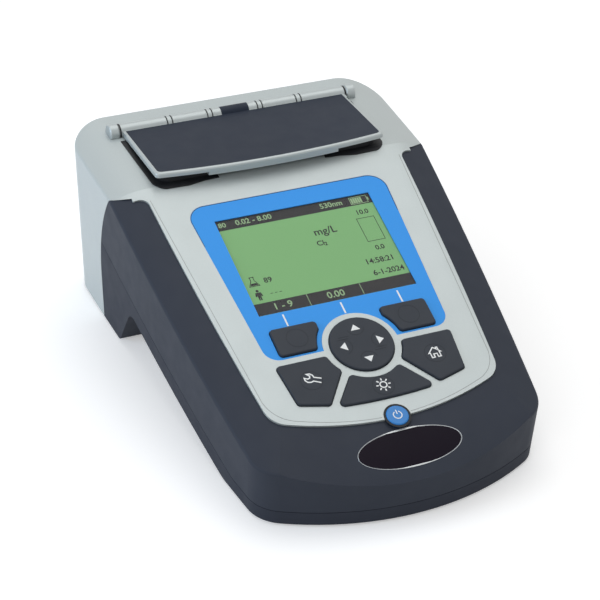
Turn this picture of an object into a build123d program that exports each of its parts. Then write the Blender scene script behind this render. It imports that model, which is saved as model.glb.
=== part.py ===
from build123d import *
from math import atan, cos, degrees, radians, sin, sqrt, tan
import os

# Portable bench spectrophotometer. Frame: +X to the user's right, +Y to the rear,
# +Z up, z = 0 on the bench, x = 0 and y = 0 in the middle of the footprint.
# Lengths are millimetres. On the sloping deck a place is given as (u, v, h):
# u to the right, v down the slope from the top edge of the display, h above the deck.

# Overall size
overall_width = 178.0
overall_depth = 261.0

# Deck planes
deck_slope = 18.13
display_top_y = 29.4
display_top_z = 80.4
deck_break_y = 57.0
rear_deck_slope = 2.9
deck_step = 1.0

# Outer walls
wall = 2.6
wall_draft = 2.4
widest_z = 86.0
front_corner_x = 77.5
front_corner_y = -110.0
rear_corner_radius = 22.0
front_corner_radius = 19.0
crease_z = 23.5
rear_top_z = 93.0
edge_round = 1.8

# Crown of the deck: flat in the middle, rolled down at both sides
edge_drop = 5.0
crown_rear_v = -29.0
crown_front_v = 172.0
crown_flat_rear = 67.5
crown_flat_front = 53.5
crown_edge_rear = 89.0
crown_edge_front = 73.5
roll_start_v = 128.0
roll_radius = 200.0

# Underside: front slab, recess and rear leg
base_z = 1.5
parting_z0 = 30.7
parting_slope = 0.264
parting_front_z = 9.0
parting_blend = 25.0
seal_outer_inset = 0.6
seal_inner_inset = 2.2
slab_depth = 10.0
leg_front_y = 55.0
leg_lean_y = 42.0
leg_lean_z = 22.0
recess_round = 9.0
leg_foot_round = 3.0
panel_front_y = 79.0
panel_curve_z = 28.0
rim_corner_y = 59.5
rim_corner_z = 85.0
band_front_y = 51.5
band_front_z = 88.0
seam_gap = 0.3
floor_inset = 0.2
floor_front_y = 74.0

# Keypad plate, the front tongue of the upper housing
plate_thickness = 2.5
plate_ledge = 3.0
plate_gap = 0.15
plate_seat = 0.05
plate_top_v = -23.3
plate_half_top = 71.1
plate_half_bottom = 60.6
plate_bottom_v = 136.8
plate_corner_v = 124.3
plate_side_bow = 1.2
plate_corner_radius = 12.0
plate_shoulder_radius = 5.0

# Display
display_width = 85.7
display_height = 63.2
window_margin = 1.5
window_thickness = 1.58
window_top_h = -0.62
lcd_top_h = -2.6
lcd_bottom_h = -4.2
window_gap = 0.1
overlay_recess = 0.6
overlay_thickness = 0.5
overlay_gap = 0.05
overlay_top_v = -11.2
overlay_bottom_v = 91.0
overlay_half_top = 55.2
overlay_half_bottom = 48.6
overlay_corner_top = 9.5
overlay_corner_bottom = 8.0
lcd_border = 2.6

# Keys
nav_v = 92.1
nav_radius = 16.2
ring_radius = 19.7
key_ring_gap = 0.5
soft_ring_radius = 22.4
soft_inner_u = 17.3
soft_outer_u = 41.9
soft_top_v = 73.1
soft_bottom_v = 89.6
low_ring_radius = 20.3
side_key_points = ((46.8, 94.7), (12.0, 94.7), (12.0, 99.4), (29.0, 122.6), (44.3, 118.6))
backlight_inner = (8.0, 101.8)
backlight_outer = (25.7, 124.3)
backlight_bottom_v = 125.6
power_v = 136.2
power_radius = 5.6
power_proud = 0.8
power_flange_radius = 6.8
key_gap = 0.35
key_proud = 1.3
key_travel = 1.0
key_corner = 2.0
key_top_round = 0.7
flange_width = 0.9
flange_thickness = 1.0
flange_top_h = -2.6
plunger_radius = 3.0
plunger_end_h = -5.7
power_hole_radius = 6.2
power_flange_top_h = -4.3

# Keypad mat and main board under the keys
mat_thickness = 1.2
mat_half_width = 45.0
mat_top_h = -6.9
mat_top_v = 68.5
mat_bottom_v = 145.0
board_thickness = 1.6
board_top_drop = 8.1
board_half_width = 52.0
board_bottom_v = 146.0
board_top_v = -8.0
board_post_radius = 2.0
board_hole_radius = 1.1
board_screw_shank = 1.0
board_screw_head = 1.8
board_screw_head_height = 1.2
board_post_places = ((47.6, -5.0), (47.6, 70.0), (49.5, 118.0))

# Badge inlay: a bare ellipse on the front
badge_v = 153.0
badge_half_width = 26.6
badge_half_height = 9.7
badge_depth = 0.6
badge_gap = 0.1

# Lid and hinge
hinge_y = 111.0
hinge_z = 93.4
barrel_radius = 4.0
cap_radius = 4.6
cap_inner_x = 65.6
cap_length = 5.1
cap_chamfer = 0.5
pin_radius = 1.5
pin_clearance = 0.05
pin_half_length = 69.0
groove_clearance = 0.45
knuckle_inner = (12.8, 35.6)
knuckle_width = 3.2
knuckle_gap = 0.2
knuckle_foot = 3.0
hinge_boss_half = 73.0
hinge_boss_depth = 8.0
hinge_boss_z = 85.0
cap_gap = 0.05
tab_half_width = 7.9
lid_rear_y = 107.0
lid_rear_z = 95.2
lid_tilt = 2.24
lid_half_width = 63.9
lid_reach = 50.4
lid_bow = 4.6
lid_thickness = 2.6
lid_rim = 1.6
lid_corner = 2.4
lid_edge_round = 1.2
lid_root = 4.0
inlay_thickness = 0.9
inlay_sink = 0.1
inlay_gap = 0.05
inlay_rear = 0.0
inlay_tab_rear = 0.8
tab_thickness = 0.5
tab_drop = 1.0
lip_half_width = 36.3
lip_drop = 2.0
lip_thickness = 2.2
lip_setback = 0.5
lid_open_degrees = 105.0

# Cell compartment
cell_y = 82.0
cell_bore_radius = 12.9
cell_top_z = 79.0
cell_bottom_z = 33.0
well_wall = 3.2
well_flange = 4.0
collar_half_width = 61.5
collar_front_y = 58.6
collar_rear_y = 105.0
collar_corner = 7.0
collar_lid_gap = 0.5
tray_half_width = 33.0
tray_half_depth = 16.0
tray_corner = 6.0
tray_wall = 2.2
tray_floor = 2.4
tray_gap = 0.2
seal_inner_grow = 0.4
seal_outer_grow = 2.0
lid_seal_height = 0.35
baffle_half_width = 30.0
baffle_half_depth = 13.6
baffle_drop = 4.0
beam_z = 50.0
beam_radius = 4.0
spring_edge = 0.5
spring_width = 6.0
spring_top_z = 74.0
spring_foot_z = 38.0
spring_bow = 2.6
spring_thickness = 0.4

# Optics
bench_z = 26.5
bench_thickness = 2.5
bench_half_width = 68.0
bench_front_y = 62.0
bench_rear_y = 117.0
bench_post_radius = 4.0
bench_post_x = 60.0
bench_post_front_y = 66.0
bench_post_rear_y = 103.0
bench_pilot = 9.0
lamp_x = -52.0
lamp_radius = 6.0
lamp_length = 17.0
lamp_base_z = 41.0
lamp_socket = 4.0
lamp_holder_half = 8.0
lamp_gap = 0.05
lens_radius = 7.0
lens_thickness = 4.0
lens_gap = 0.05
lens_bulge = 1.2
lens_mount_half = 2.5
lens_mount_side = 10.0
lens_offset = 23.5
slit_x = 35.0
slit_plate = 1.0
slit_half = 9.0
slit_width = 0.5
slit_height = 6.0
grating_x = 58.0
grating_turn = 22.0
grating_mount_depth = 5.0
grating_mount_height = 33.0
grating_width = 14.0
grating_thickness = 3.0
detector_x = 38.0
detector_y = 104.0
detector_board_half = 18.0
detector_board_rise = 12.0
detector_half = 14.0
detector_depth = 3.0
detector_rise = 4.0

# Battery bay under the rear leg
bay_half_width = 30.6
bay_front_y = 64.5
bay_rear_y = 117.5
bay_top_z = 19.6
bay_wall = 2.0
aa_radius = 7.2
aa_length = 49.5
aa_nub_radius = 2.75
aa_nub_length = 1.0
aa_pitch = 15.2
aa_count = 4
aa_lift = 0.3
aa_slack = 0.3
contact_half = 5.0
contact_thickness = 0.5
cover_thickness = 2.2
cover_half_width = 41.5
cover_margin_y = 4.0
cover_gap = 0.25
cover_sink = 1.4
cover_corner = 4.0
seal_thickness = 0.8
seal_width = 2.0
bay_ledge_z = 7.0
bay_ledge_wall = 2.0
cover_screw_x = 37.0
cover_screw_inset_y = 6.0
cover_pilot_z = 14.0

# Fasteners and feet
screw_radius = 1.5
screw_head_radius = 2.8
screw_head_height = 1.8
screw_gap = 0.2
screw_end_z = 17.0
screw_recess_z = 3.6
screw_seat_z = 5.6
post_radius = 4.2
rear_post_x = 75.0
rear_post_y = 114.0
rear_pilot_z = 20.0
front_post_x = 60.0
front_post_y = -82.0
front_pilot_z = 24.0
post_foot_z = 5.65
rear_post_top_z = 90.0
foot_radius = 6.0
foot_recess = 1.2
foot_gap = 0.2
foot_round = 0.6
rear_foot_x = 60.0
rear_foot_y = 115.0
front_foot_x = 54.0
front_foot_y = -99.0

far = 160.0
slope_sin = sin(radians(deck_slope))
slope_cos = cos(radians(deck_slope))
rear_sin = sin(radians(rear_deck_slope))
rear_cos = cos(radians(rear_deck_slope))
draft_tan = tan(radians(wall_draft))


def deck_point(u, v, h):
    """Place of a deck coordinate in the object's frame."""
    y = display_top_y - v * slope_cos - h * slope_sin
    z = display_top_z - v * slope_sin + h * slope_cos
    return (u, y, z)


def deck_plane(h):
    """Plane parallel to the deck, with its x to the right and its y up the slope."""
    return Plane(origin=deck_point(0, 0, h), x_dir=(1, 0, 0), z_dir=(0, -slope_sin, slope_cos))


def deck_section(v):
    """Plane across the deck at v, with its y along the deck's normal."""
    return Plane(origin=deck_point(0, v, 0), x_dir=(1, 0, 0), z_dir=(0, -slope_cos, -slope_sin))


def deck_z(y):
    """Height of the front deck plane at y."""
    return display_top_z + (y - display_top_y) * slope_sin / slope_cos


def rear_deck_z(y):
    """Height of the rear deck plane at y."""
    return deck_z(deck_break_y) + (y - deck_break_y) * rear_sin / rear_cos


def rear_plane(h):
    """Plane parallel to the rear deck, with its origin above the cell."""
    origin = (0, cell_y - h * rear_sin, rear_deck_z(cell_y) + h * rear_cos)
    return Plane(origin=origin, x_dir=(1, 0, 0), z_dir=(0, -rear_sin, rear_cos))


def lid_plane(h):
    """Plane parallel to the lid's top, with its origin at the middle of the rear edge."""
    tilt_sin = sin(radians(lid_tilt))
    tilt_cos = cos(radians(lid_tilt))
    origin = (0, lid_rear_y + h * tilt_sin, lid_rear_z + h * tilt_cos)
    return Plane(origin=origin, x_dir=(1, 0, 0), z_dir=(0, tilt_sin, tilt_cos))


def inset_at(z):
    """How far the drafted walls have come in at height z."""
    return (widest_z - z) * draft_tan


def parting_z(y):
    """Height of the line where the housing halves part, before its front blend."""
    return max(parting_front_z, parting_z0 + parting_slope * y)


def plan_outline(inset):
    """Plan outline of the housing at its widest with sharp front corners, brought in by inset."""
    half = overall_width / 2
    rear = overall_depth / 2 - inset_at(2 * widest_z - rear_top_z)
    front = -overall_depth / 2 - inset_at(crease_z)
    straight_x = half - rear_corner_radius
    straight_y = rear - rear_corner_radius
    with BuildSketch() as outline:
        with BuildLine():
            Line((straight_x, rear), (-straight_x, rear))
            TangentArc((-straight_x, rear), (-half, straight_y), tangent=(-1, 0))
            TangentArc((-half, straight_y), (-front_corner_x, front_corner_y), tangent=(0, -1))
            ThreePointArc((-front_corner_x, front_corner_y), (0, front), (front_corner_x, front_corner_y))
            TangentArc((half, straight_y), (front_corner_x, front_corner_y), tangent=(0, -1))
            TangentArc((straight_x, rear), (half, straight_y), tangent=(1, 0))
        make_face()
        if inset != 0:
            offset(amount=-inset)
    return outline.sketch


def walls(inset):
    """Solid column inside the drafted walls, brought in by inset."""
    low_z = -10.0
    high_z = 110.0
    with BuildPart() as column:
        with BuildSketch(Plane.XY.offset(low_z)):
            add(plan_outline(inset + inset_at(low_z)))
        extrude(amount=high_z - low_z, taper=-wall_draft)
        upright_edges = column.edges().filter_by(lambda e: e.bounding_box().size.Z > high_z)
        fillet(upright_edges.sort_by(Axis.Y)[:2], radius=front_corner_radius - inset)
    return column.part


def crown_outline(flat, edge, top, side):
    """Section of a crown: level at top up to flat, rolled down to side at edge."""
    end_angle = 2 * atan((top - side) / (edge - flat))
    reach = 30.0
    foot = side - reach * tan(end_angle)
    with BuildSketch() as outline:
        with BuildLine():
            Line((-flat, top), (flat, top))
            TangentArc((flat, top), (edge, side), tangent=(1, 0))
            Line((edge, side), (edge + reach, foot))
            Line((edge + reach, foot), (edge + reach, -far))
            Line((edge + reach, -far), (-edge - reach, -far))
            Line((-edge - reach, -far), (-edge - reach, foot))
            Line((-edge - reach, foot), (-edge, side))
            TangentArc((-flat, top), (-edge, side), tangent=(-1, 0))
        make_face()
    return outline.sketch


def front_crown(top, lower):
    """Solid below the crowned front deck, narrowing to the front."""
    run = crown_front_v - crown_rear_v
    overrun = 90.0
    flat_step = (crown_flat_front - crown_flat_rear) / run * overrun
    edge_step = (crown_edge_front - crown_edge_rear) / run * overrun
    level = top - lower
    side = -edge_drop - lower
    with BuildPart() as crown:
        with BuildSketch(deck_section(crown_rear_v - overrun)):
            add(crown_outline(crown_flat_rear - flat_step, crown_edge_rear - edge_step, level, side))
        with BuildSketch(deck_section(crown_front_v + overrun)):
            add(crown_outline(crown_flat_front + flat_step, crown_edge_front + edge_step, level, side))
        loft(ruled=True)
    return crown.part


def rear_crown(top, lower):
    """Solid below the crowned rear deck."""
    start = (0, far, rear_deck_z(far))
    section = Plane(origin=start, x_dir=(1, 0, 0), z_dir=(0, -rear_cos, -rear_sin))
    with BuildPart() as crown:
        with BuildSketch(section):
            add(crown_outline(crown_flat_rear, crown_edge_rear, top - lower, -edge_drop - lower))
        extrude(amount=2 * far)
    return crown.part


def side_block(profile):
    """Extrude a side profile, drawn as (y, z), across the whole width."""
    with BuildPart() as block:
        with BuildSketch(Plane.YZ.offset(-far)):
            add(profile)
        extrude(amount=2 * far)
    return block.part


def front_roll(lower):
    """Side profile that rolls the front of the deck down to the front edge."""
    top = -deck_step - lower
    run = 70.0
    start = deck_point(0, roll_start_v, top)[1:]
    end = deck_point(0, roll_start_v + run, top - run ** 2 / (2 * roll_radius))[1:]
    back = deck_point(0, -far, top)[1:]
    with BuildSketch() as profile:
        with BuildLine():
            Line(back, start)
            TangentArc(start, end, tangent=(-slope_cos, -slope_sin))
            Line(end, (-far, end[1]))
            Line((-far, end[1]), (-far, -far))
            Line((-far, -far), (back[0], -far))
            Line((back[0], -far), back)
        make_face()
    return profile.sketch


def rim_edges(form):
    """Edges where the deck meets the outer walls."""
    sides = form.faces().filter_by(lambda f: abs(f.normal_at().Z) < 0.2)
    return sides.edges().filter_by(lambda e: e.bounding_box().min.Z > base_z)


def charcoal_form(lower, inset):
    """Outer form of the charcoal shells, lowered and brought in for its inside."""
    with BuildPart() as form:
        add(walls(inset))
        add(front_crown(-deck_step, lower), mode=Mode.INTERSECT)
        add(rear_crown(-deck_step, lower), mode=Mode.INTERSECT)
        if lower == 0:
            fillet(rim_edges(form), radius=edge_round)
        add(side_block(front_roll(lower)), mode=Mode.INTERSECT)
    return form.part


def silver_form(lower, inset):
    """Outer form of the silver upper housing, lowered and brought in for its inside."""
    with BuildPart() as form:
        add(walls(inset))
        add(front_crown(0, lower), mode=Mode.INTERSECT)
        add(rear_crown(0, lower), mode=Mode.INTERSECT)
        if lower == 0:
            fillet(rim_edges(form), radius=edge_round)
    return form.part


def silver_side(grow):
    """Side profile of the silver rear housing, its front boundary moved forward by grow."""
    front = panel_front_y - grow
    with BuildSketch() as profile:
        with BuildLine():
            Line((far, -far), (front, -far))
            Line((front, -far), (front, panel_curve_z))
            TangentArc((front, panel_curve_z), (rim_corner_y - grow, rim_corner_z), tangent=(0, 1))
            Line((rim_corner_y - grow, rim_corner_z), (band_front_y - grow, band_front_z))
            Line((band_front_y - grow, band_front_z), (band_front_y - grow, far))
            Line((band_front_y - grow, far), (far, far))
            Line((far, far), (far, -far))
        make_face()
    return profile.sketch


def below_parting(drop):
    """Side profile below the parting line, lowered by drop."""
    level = parting_front_z - drop
    knee_y = (parting_front_z - parting_z0) / parting_slope
    rear_level = parting_z0 + parting_slope * far - drop
    with BuildSketch() as profile:
        with BuildLine():
            Polyline((knee_y, level), (far, rear_level), (far, -far), (-far, -far), (-far, level), close=True)
        make_face()
        fillet(profile.vertices().sort_by_distance((knee_y, level, 0))[0], radius=parting_blend)
    return profile.sketch


def underside(lift):
    """Side profile above the underside of slab, recess and leg, raised by lift."""
    slab_z0 = parting_z0 - slab_depth
    slab_break = ((base_z - slab_z0) / parting_slope, base_z)
    lean = (leg_front_y - leg_lean_y) / (leg_lean_z - base_z)
    corner_y = (leg_front_y + lean * (base_z - slab_z0)) / (1 + lean * parting_slope)
    corner = (corner_y, slab_z0 + parting_slope * corner_y)
    foot = (leg_front_y, base_z)
    with BuildSketch() as profile:
        with BuildLine():
            Polyline((-far, base_z), slab_break, corner, foot, (far, base_z), (far, far), (-far, far), close=True)
        make_face()
        fillet(profile.vertices().sort_by_distance((slab_break[0], slab_break[1], 0))[0], radius=parting_blend)
        fillet(profile.vertices().sort_by_distance((corner[0], corner[1], 0))[0], radius=recess_round)
        fillet(profile.vertices().sort_by_distance((foot[0], foot[1], 0))[0], radius=leg_foot_round)
        if lift != 0:
            offset(amount=-lift)
    return profile.sketch



def plate_outline(grow):
    """Outline of the keypad plate as (u, -v), with its shoulders, grown by grow."""
    half_top = plate_half_top + grow
    half_bottom = plate_half_bottom + grow
    shoulder = plate_half_top + plate_shoulder_radius + 2
    shoulder_y = -plate_top_v - grow
    top = plate_shoulder_radius - plate_top_v
    side_mid = (half_top + half_bottom) / 2 + plate_side_bow
    mid_v = (plate_top_v + plate_corner_v) / 2
    corner_y = -plate_corner_v - grow
    with BuildSketch() as outline:
        with BuildLine():
            Line((-shoulder, top), (shoulder, top))
            Line((shoulder, top), (shoulder, shoulder_y))
            Line((shoulder, shoulder_y), (half_top, shoulder_y))
            ThreePointArc((half_top, shoulder_y), (side_mid, -mid_v), (half_bottom, corner_y))
            ThreePointArc((half_bottom, corner_y), (0, -plate_bottom_v - grow), (-half_bottom, corner_y))
            ThreePointArc((-half_bottom, corner_y), (-side_mid, -mid_v), (-half_top, shoulder_y))
            Line((-half_top, shoulder_y), (-shoulder, shoulder_y))
            Line((-shoulder, shoulder_y), (-shoulder, top))
        make_face()
        fillet(outline.vertices().sort_by(Axis.Y)[:2], radius=plate_corner_radius + grow)
        for side in (-1, 1):
            inner = outline.vertices().sort_by_distance((side * half_top, shoulder_y, 0))[0]
            fillet(inner, radius=plate_shoulder_radius - grow)
    return outline.sketch


def overlay_outline(grow):
    """Outline of the blue overlay as (u, -v), grown by grow."""
    with BuildSketch() as outline:
        with BuildLine():
            Polyline(
                (-overlay_half_top, -overlay_top_v),
                (overlay_half_top, -overlay_top_v),
                (overlay_half_bottom, -overlay_bottom_v),
                (-overlay_half_bottom, -overlay_bottom_v),
                close=True,
            )
        make_face()
        fillet(outline.vertices().sort_by(Axis.Y)[-2:], radius=overlay_corner_top)
        fillet(outline.vertices().sort_by(Axis.Y)[:2], radius=overlay_corner_bottom)
        with Locations((0, -nav_v)):
            Circle(ring_radius, mode=Mode.SUBTRACT)
        if grow != 0:
            offset(amount=grow)
    return outline.sketch


def soft_key_outline(side, grow):
    """Outline of a soft key as (u, -v), on the side given by -1 or 1."""
    width = soft_outer_u - soft_inner_u
    height = soft_bottom_v - soft_top_v
    with BuildSketch() as outline:
        with Locations((side * (soft_inner_u + width / 2), -soft_top_v - height / 2)):
            Rectangle(width, height)
        with Locations((0, -nav_v)):
            Circle(soft_ring_radius, mode=Mode.SUBTRACT)
        fillet(outline.vertices(), radius=key_corner)
        if grow != 0:
            offset(amount=grow)
    return outline.sketch


def side_key_outline(side, grow):
    """Outline of the lower left or lower right key as (u, -v)."""
    points = [(side * u, -v) for u, v in side_key_points]
    with BuildSketch() as outline:
        with BuildLine():
            Polyline(*points, close=True)
        make_face()
        with Locations((0, -nav_v)):
            Circle(low_ring_radius, mode=Mode.SUBTRACT)
        fillet(outline.vertices(), radius=key_corner)
        if grow != 0:
            offset(amount=grow)
    return outline.sketch


def backlight_outline(grow):
    """Outline of the middle key below the pad as (u, -v)."""
    inner_u, inner_v = backlight_inner
    outer_u, outer_v = backlight_outer
    with BuildSketch() as outline:
        with BuildLine():
            Line((-inner_u, -inner_v), (inner_u, -inner_v))
            Line((inner_u, -inner_v), (outer_u, -outer_v))
            ThreePointArc((outer_u, -outer_v), (0, -backlight_bottom_v), (-outer_u, -outer_v))
            Line((-outer_u, -outer_v), (-inner_u, -inner_v))
        make_face()
        with Locations((0, -nav_v)):
            Circle(low_ring_radius, mode=Mode.SUBTRACT)
        fillet(outline.vertices(), radius=key_corner)
        if grow != 0:
            offset(amount=grow)
    return outline.sketch


def round_outline(v, radius):
    """Round outline on the middle line of the deck as (u, -v)."""
    with BuildSketch() as outline:
        with Locations((0, -v)):
            Circle(radius)
    return outline.sketch


def key_outlines(grow):
    """Outlines of the keys on the plate, by the name of the key."""
    return {
        "soft_key_left": soft_key_outline(-1, grow),
        "soft_key_right": soft_key_outline(1, grow),
        "nav_pad": round_outline(nav_v, nav_radius + grow),
        "settings_key": side_key_outline(-1, grow),
        "backlight_key": backlight_outline(grow),
        "home_key": side_key_outline(1, grow),
    }


def on_deck(outline, low, high):
    """Extrude an outline drawn as (u, -v) between two heights over the deck."""
    with BuildPart() as solid:
        with BuildSketch(deck_plane(low)):
            add(outline)
        extrude(amount=high - low)
    return solid.part


def deck_rectangle(half_width, top_v, bottom_v):
    """Rectangle about the middle line of the deck as (u, -v)."""
    with BuildSketch() as outline:
        with Locations((0, -(top_v + bottom_v) / 2)):
            Rectangle(2 * half_width, bottom_v - top_v)
    return outline.sketch


def window_outline(grow):
    """Outline of the display window as (u, -v), grown by grow."""
    edge = window_margin + grow
    return deck_rectangle(display_width / 2 + edge, -edge, display_height + edge)


def box_between(low, high):
    """Box between two opposite corners."""
    centre = tuple((a + b) / 2 for a, b in zip(low, high))
    with BuildPart(Plane(origin=centre)) as box:
        Box(high[0] - low[0], high[1] - low[1], high[2] - low[2])
    return box.part


def upright(x, y, radius, low, high):
    """Upright cylinder between two heights."""
    with BuildPart(Plane(origin=(x, y, low))) as cylinder:
        Cylinder(radius, high - low, align=(Align.CENTER, Align.CENTER, Align.MIN))
    return cylinder.part


def rounded_column(half_width, front_y, rear_y, corner, low, high):
    """Upright block with rounded corners, between two heights."""
    with BuildPart() as column:
        with BuildSketch(Plane.XY.offset(low)):
            with Locations((0, (front_y + rear_y) / 2)):
                RectangleRounded(2 * half_width, rear_y - front_y, corner)
        extrude(amount=high - low)
    return column.part


def along_x(y, z, radius, low, high):
    """Cylinder along X between two places."""
    with BuildPart() as bar:
        with BuildSketch(Plane(origin=(low, y, z), x_dir=(0, 1, 0), z_dir=(1, 0, 0))):
            Circle(radius)
        extrude(amount=high - low)
    return bar.part


def along_y(x, z, radius, low, high):
    """Cylinder along Y between two places."""
    with BuildPart() as bar:
        with BuildSketch(Plane(origin=(x, low, z), x_dir=(1, 0, 0), z_dir=(0, 1, 0))):
            Circle(radius)
        extrude(amount=high - low)
    return bar.part


def tray_column(grow, low, high):
    """Upright block of the sample tray's outline, grown by grow."""
    return rounded_column(
        tray_half_width + grow,
        cell_y - tray_half_depth - grow,
        cell_y + tray_half_depth + grow,
        tray_corner + grow,
        low,
        high,
    )


# Silver upper housing with the keypad plate as its front tongue
front_limit = box_between((-far, -far, base_z), (far, far, far))
boss_low = (-hinge_boss_half, hinge_y - hinge_boss_depth, hinge_boss_z)
boss_high = (hinge_boss_half, hinge_y + hinge_boss_depth, hinge_z)
silver_outer = silver_form(0, 0)
silver_inner = silver_form(wall, wall)

with BuildPart() as upper_housing:
    add(silver_outer)
    add(silver_inner, mode=Mode.SUBTRACT)
    add(box_between(boss_low, boss_high))
    add(silver_outer, mode=Mode.INTERSECT)
    add(side_block(silver_side(0)), mode=Mode.INTERSECT)
    add(front_limit, mode=Mode.INTERSECT)
    with BuildPart(mode=Mode.PRIVATE) as tongue:
        add(on_deck(plate_outline(0), -plate_thickness, plate_thickness))
        add(silver_outer, mode=Mode.INTERSECT)
    add(tongue.part)
    for u, v in board_post_places:
        for side in (-1, 1):
            with BuildSketch(deck_plane(-board_top_drop)):
                with Locations((side * u, -v)):
                    Circle(board_post_radius)
            extrude(amount=board_top_drop - plate_thickness)
    for side in (-1, 1):
        add(upright(side * rear_post_x, rear_post_y, post_radius, post_foot_z, rear_post_top_z))
        add(upright(side * rear_post_x, rear_post_y, screw_radius, 0, rear_pilot_z), mode=Mode.SUBTRACT)
    for outline in key_outlines(key_gap).values():
        add(on_deck(outline, -plate_thickness - 1, 1), mode=Mode.SUBTRACT)
    add(on_deck(round_outline(power_v, power_hole_radius), -plate_thickness - 1, 1), mode=Mode.SUBTRACT)
    add(on_deck(overlay_outline(overlay_gap), -overlay_recess, 1), mode=Mode.SUBTRACT)
    add(on_deck(window_outline(window_gap), -plate_thickness - 1, 0), mode=Mode.SUBTRACT)
    add(tray_column(tray_wall + tray_gap, 70, far), mode=Mode.SUBTRACT)
    add(along_x(hinge_y, hinge_z, barrel_radius + groove_clearance, -cap_inner_x, cap_inner_x), mode=Mode.SUBTRACT)
    for side in (-1, 1):
        ends = sorted((side * cap_inner_x, side * (cap_inner_x + cap_length + cap_gap)))
        add(along_x(hinge_y, hinge_z, cap_radius + cap_gap, *ends), mode=Mode.SUBTRACT)
        for inner in knuckle_inner:
            ends = sorted((side * inner, side * (inner + knuckle_width)))
            add(along_x(hinge_y, hinge_z, barrel_radius, *ends))
            foot_low = (ends[0], hinge_y - knuckle_foot, hinge_boss_z)
            foot_high = (ends[1], hinge_y + knuckle_foot, hinge_z)
            add(box_between(foot_low, foot_high))
    add(along_x(hinge_y, hinge_z, pin_radius + pin_clearance, -cap_inner_x, cap_inner_x), mode=Mode.SUBTRACT)
upper_housing.part.label = "upper_housing"
export_step(upper_housing.part, "parts/upper_housing.step")


# Charcoal front shell around the plate
charcoal_outer = charcoal_form(0, 0)
charcoal_inner = charcoal_form(wall, wall)

with BuildPart() as badge_column:
    with BuildSketch(deck_plane(-20)):
        with Locations((0, -badge_v)):
            Ellipse(badge_half_width + badge_gap, badge_half_height + badge_gap)
    extrude(amount=40)

with BuildPart() as front_shell:
    add(charcoal_outer)
    add(charcoal_inner, mode=Mode.SUBTRACT)
    add(side_block(silver_side(seam_gap)), mode=Mode.SUBTRACT)
    add(side_block(below_parting(0)), mode=Mode.SUBTRACT)
    with BuildPart(mode=Mode.PRIVATE) as front_posts:
        for side in (-1, 1):
            add(upright(side * front_post_x, front_post_y, post_radius, post_foot_z, deck_z(front_post_y)))
        add(charcoal_outer, mode=Mode.INTERSECT)
    add(front_posts.part)
    add(on_deck(plate_outline(plate_gap), -plate_thickness - plate_seat, 5), mode=Mode.SUBTRACT)
    add(on_deck(plate_outline(-plate_ledge), -10, 5), mode=Mode.SUBTRACT)
    add(on_deck(round_outline(power_v, power_hole_radius), -10, 5), mode=Mode.SUBTRACT)
    with BuildPart(mode=Mode.PRIVATE) as badge_pocket:
        add(badge_column.part)
        add(charcoal_form(badge_depth, badge_depth), mode=Mode.SUBTRACT)
    add(badge_pocket.part, mode=Mode.SUBTRACT)
    for side in (-1, 1):
        add(upright(side * front_post_x, front_post_y, screw_radius, 0, front_pilot_z), mode=Mode.SUBTRACT)
front_shell.part.label = "front_shell"
export_step(front_shell.part, "parts/front_shell.step")

# Bare badge inlay, set into the front shell and following its curve
with BuildPart() as badge_inlay:
    with BuildSketch(deck_plane(-20)):
        with Locations((0, -badge_v)):
            Ellipse(badge_half_width, badge_half_height)
    extrude(amount=40)
    add(charcoal_outer, mode=Mode.INTERSECT)
    add(charcoal_form(badge_depth - badge_gap, badge_depth - badge_gap), mode=Mode.SUBTRACT)
badge_inlay.part.label = "badge_inlay"
export_step(badge_inlay.part, "parts/badge_inlay.step")

# Charcoal lower housing: front slab, rear leg, floor and battery bay
recess_top = base_z + cover_thickness + seal_thickness
lower_inner_top = base_z + wall

with BuildPart() as lower_outer:
    add(walls(0))
    add(side_block(underside(0)), mode=Mode.INTERSECT)
    add(side_block(below_parting(seam_gap)), mode=Mode.INTERSECT)
    add(side_block(silver_side(seam_gap)), mode=Mode.SUBTRACT)

with BuildPart() as lower_floor:
    add(walls(wall + floor_inset))
    add(box_between((-far, floor_front_y, base_z), (far, far, lower_inner_top)), mode=Mode.INTERSECT)

with BuildPart() as lower_cavity:
    add(walls(wall))
    add(side_block(underside(wall)), mode=Mode.INTERSECT)

bay_low = (-bay_half_width, bay_front_y, 0)
bay_high = (bay_half_width, bay_rear_y, bay_top_z)
shell_low = (-bay_half_width - bay_wall, bay_front_y - bay_wall, base_z)
shell_high = (bay_half_width + bay_wall, bay_rear_y + bay_wall, bay_top_z + bay_wall)
cover_front_y = bay_front_y - cover_margin_y
cover_rear_y = bay_rear_y + cover_margin_y
ledge_side = cover_half_width + cover_gap + bay_ledge_wall
ledge_end = cover_gap + bay_ledge_wall
foot_places = (
    (-rear_foot_x, rear_foot_y),
    (rear_foot_x, rear_foot_y),
    (-front_foot_x, front_foot_y),
    (front_foot_x, front_foot_y),
)
cover_screw_places = (
    (-cover_screw_x, cover_front_y + cover_screw_inset_y),
    (cover_screw_x, cover_front_y + cover_screw_inset_y),
    (-cover_screw_x, cover_rear_y - cover_screw_inset_y),
    (cover_screw_x, cover_rear_y - cover_screw_inset_y),
)
housing_screw_places = (
    (-rear_post_x, rear_post_y),
    (rear_post_x, rear_post_y),
    (-front_post_x, front_post_y),
    (front_post_x, front_post_y),
)
bench_post_places = (
    (-bench_post_x, bench_post_front_y),
    (bench_post_x, bench_post_front_y),
    (-bench_post_x, bench_post_rear_y),
    (bench_post_x, bench_post_rear_y),
)

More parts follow.
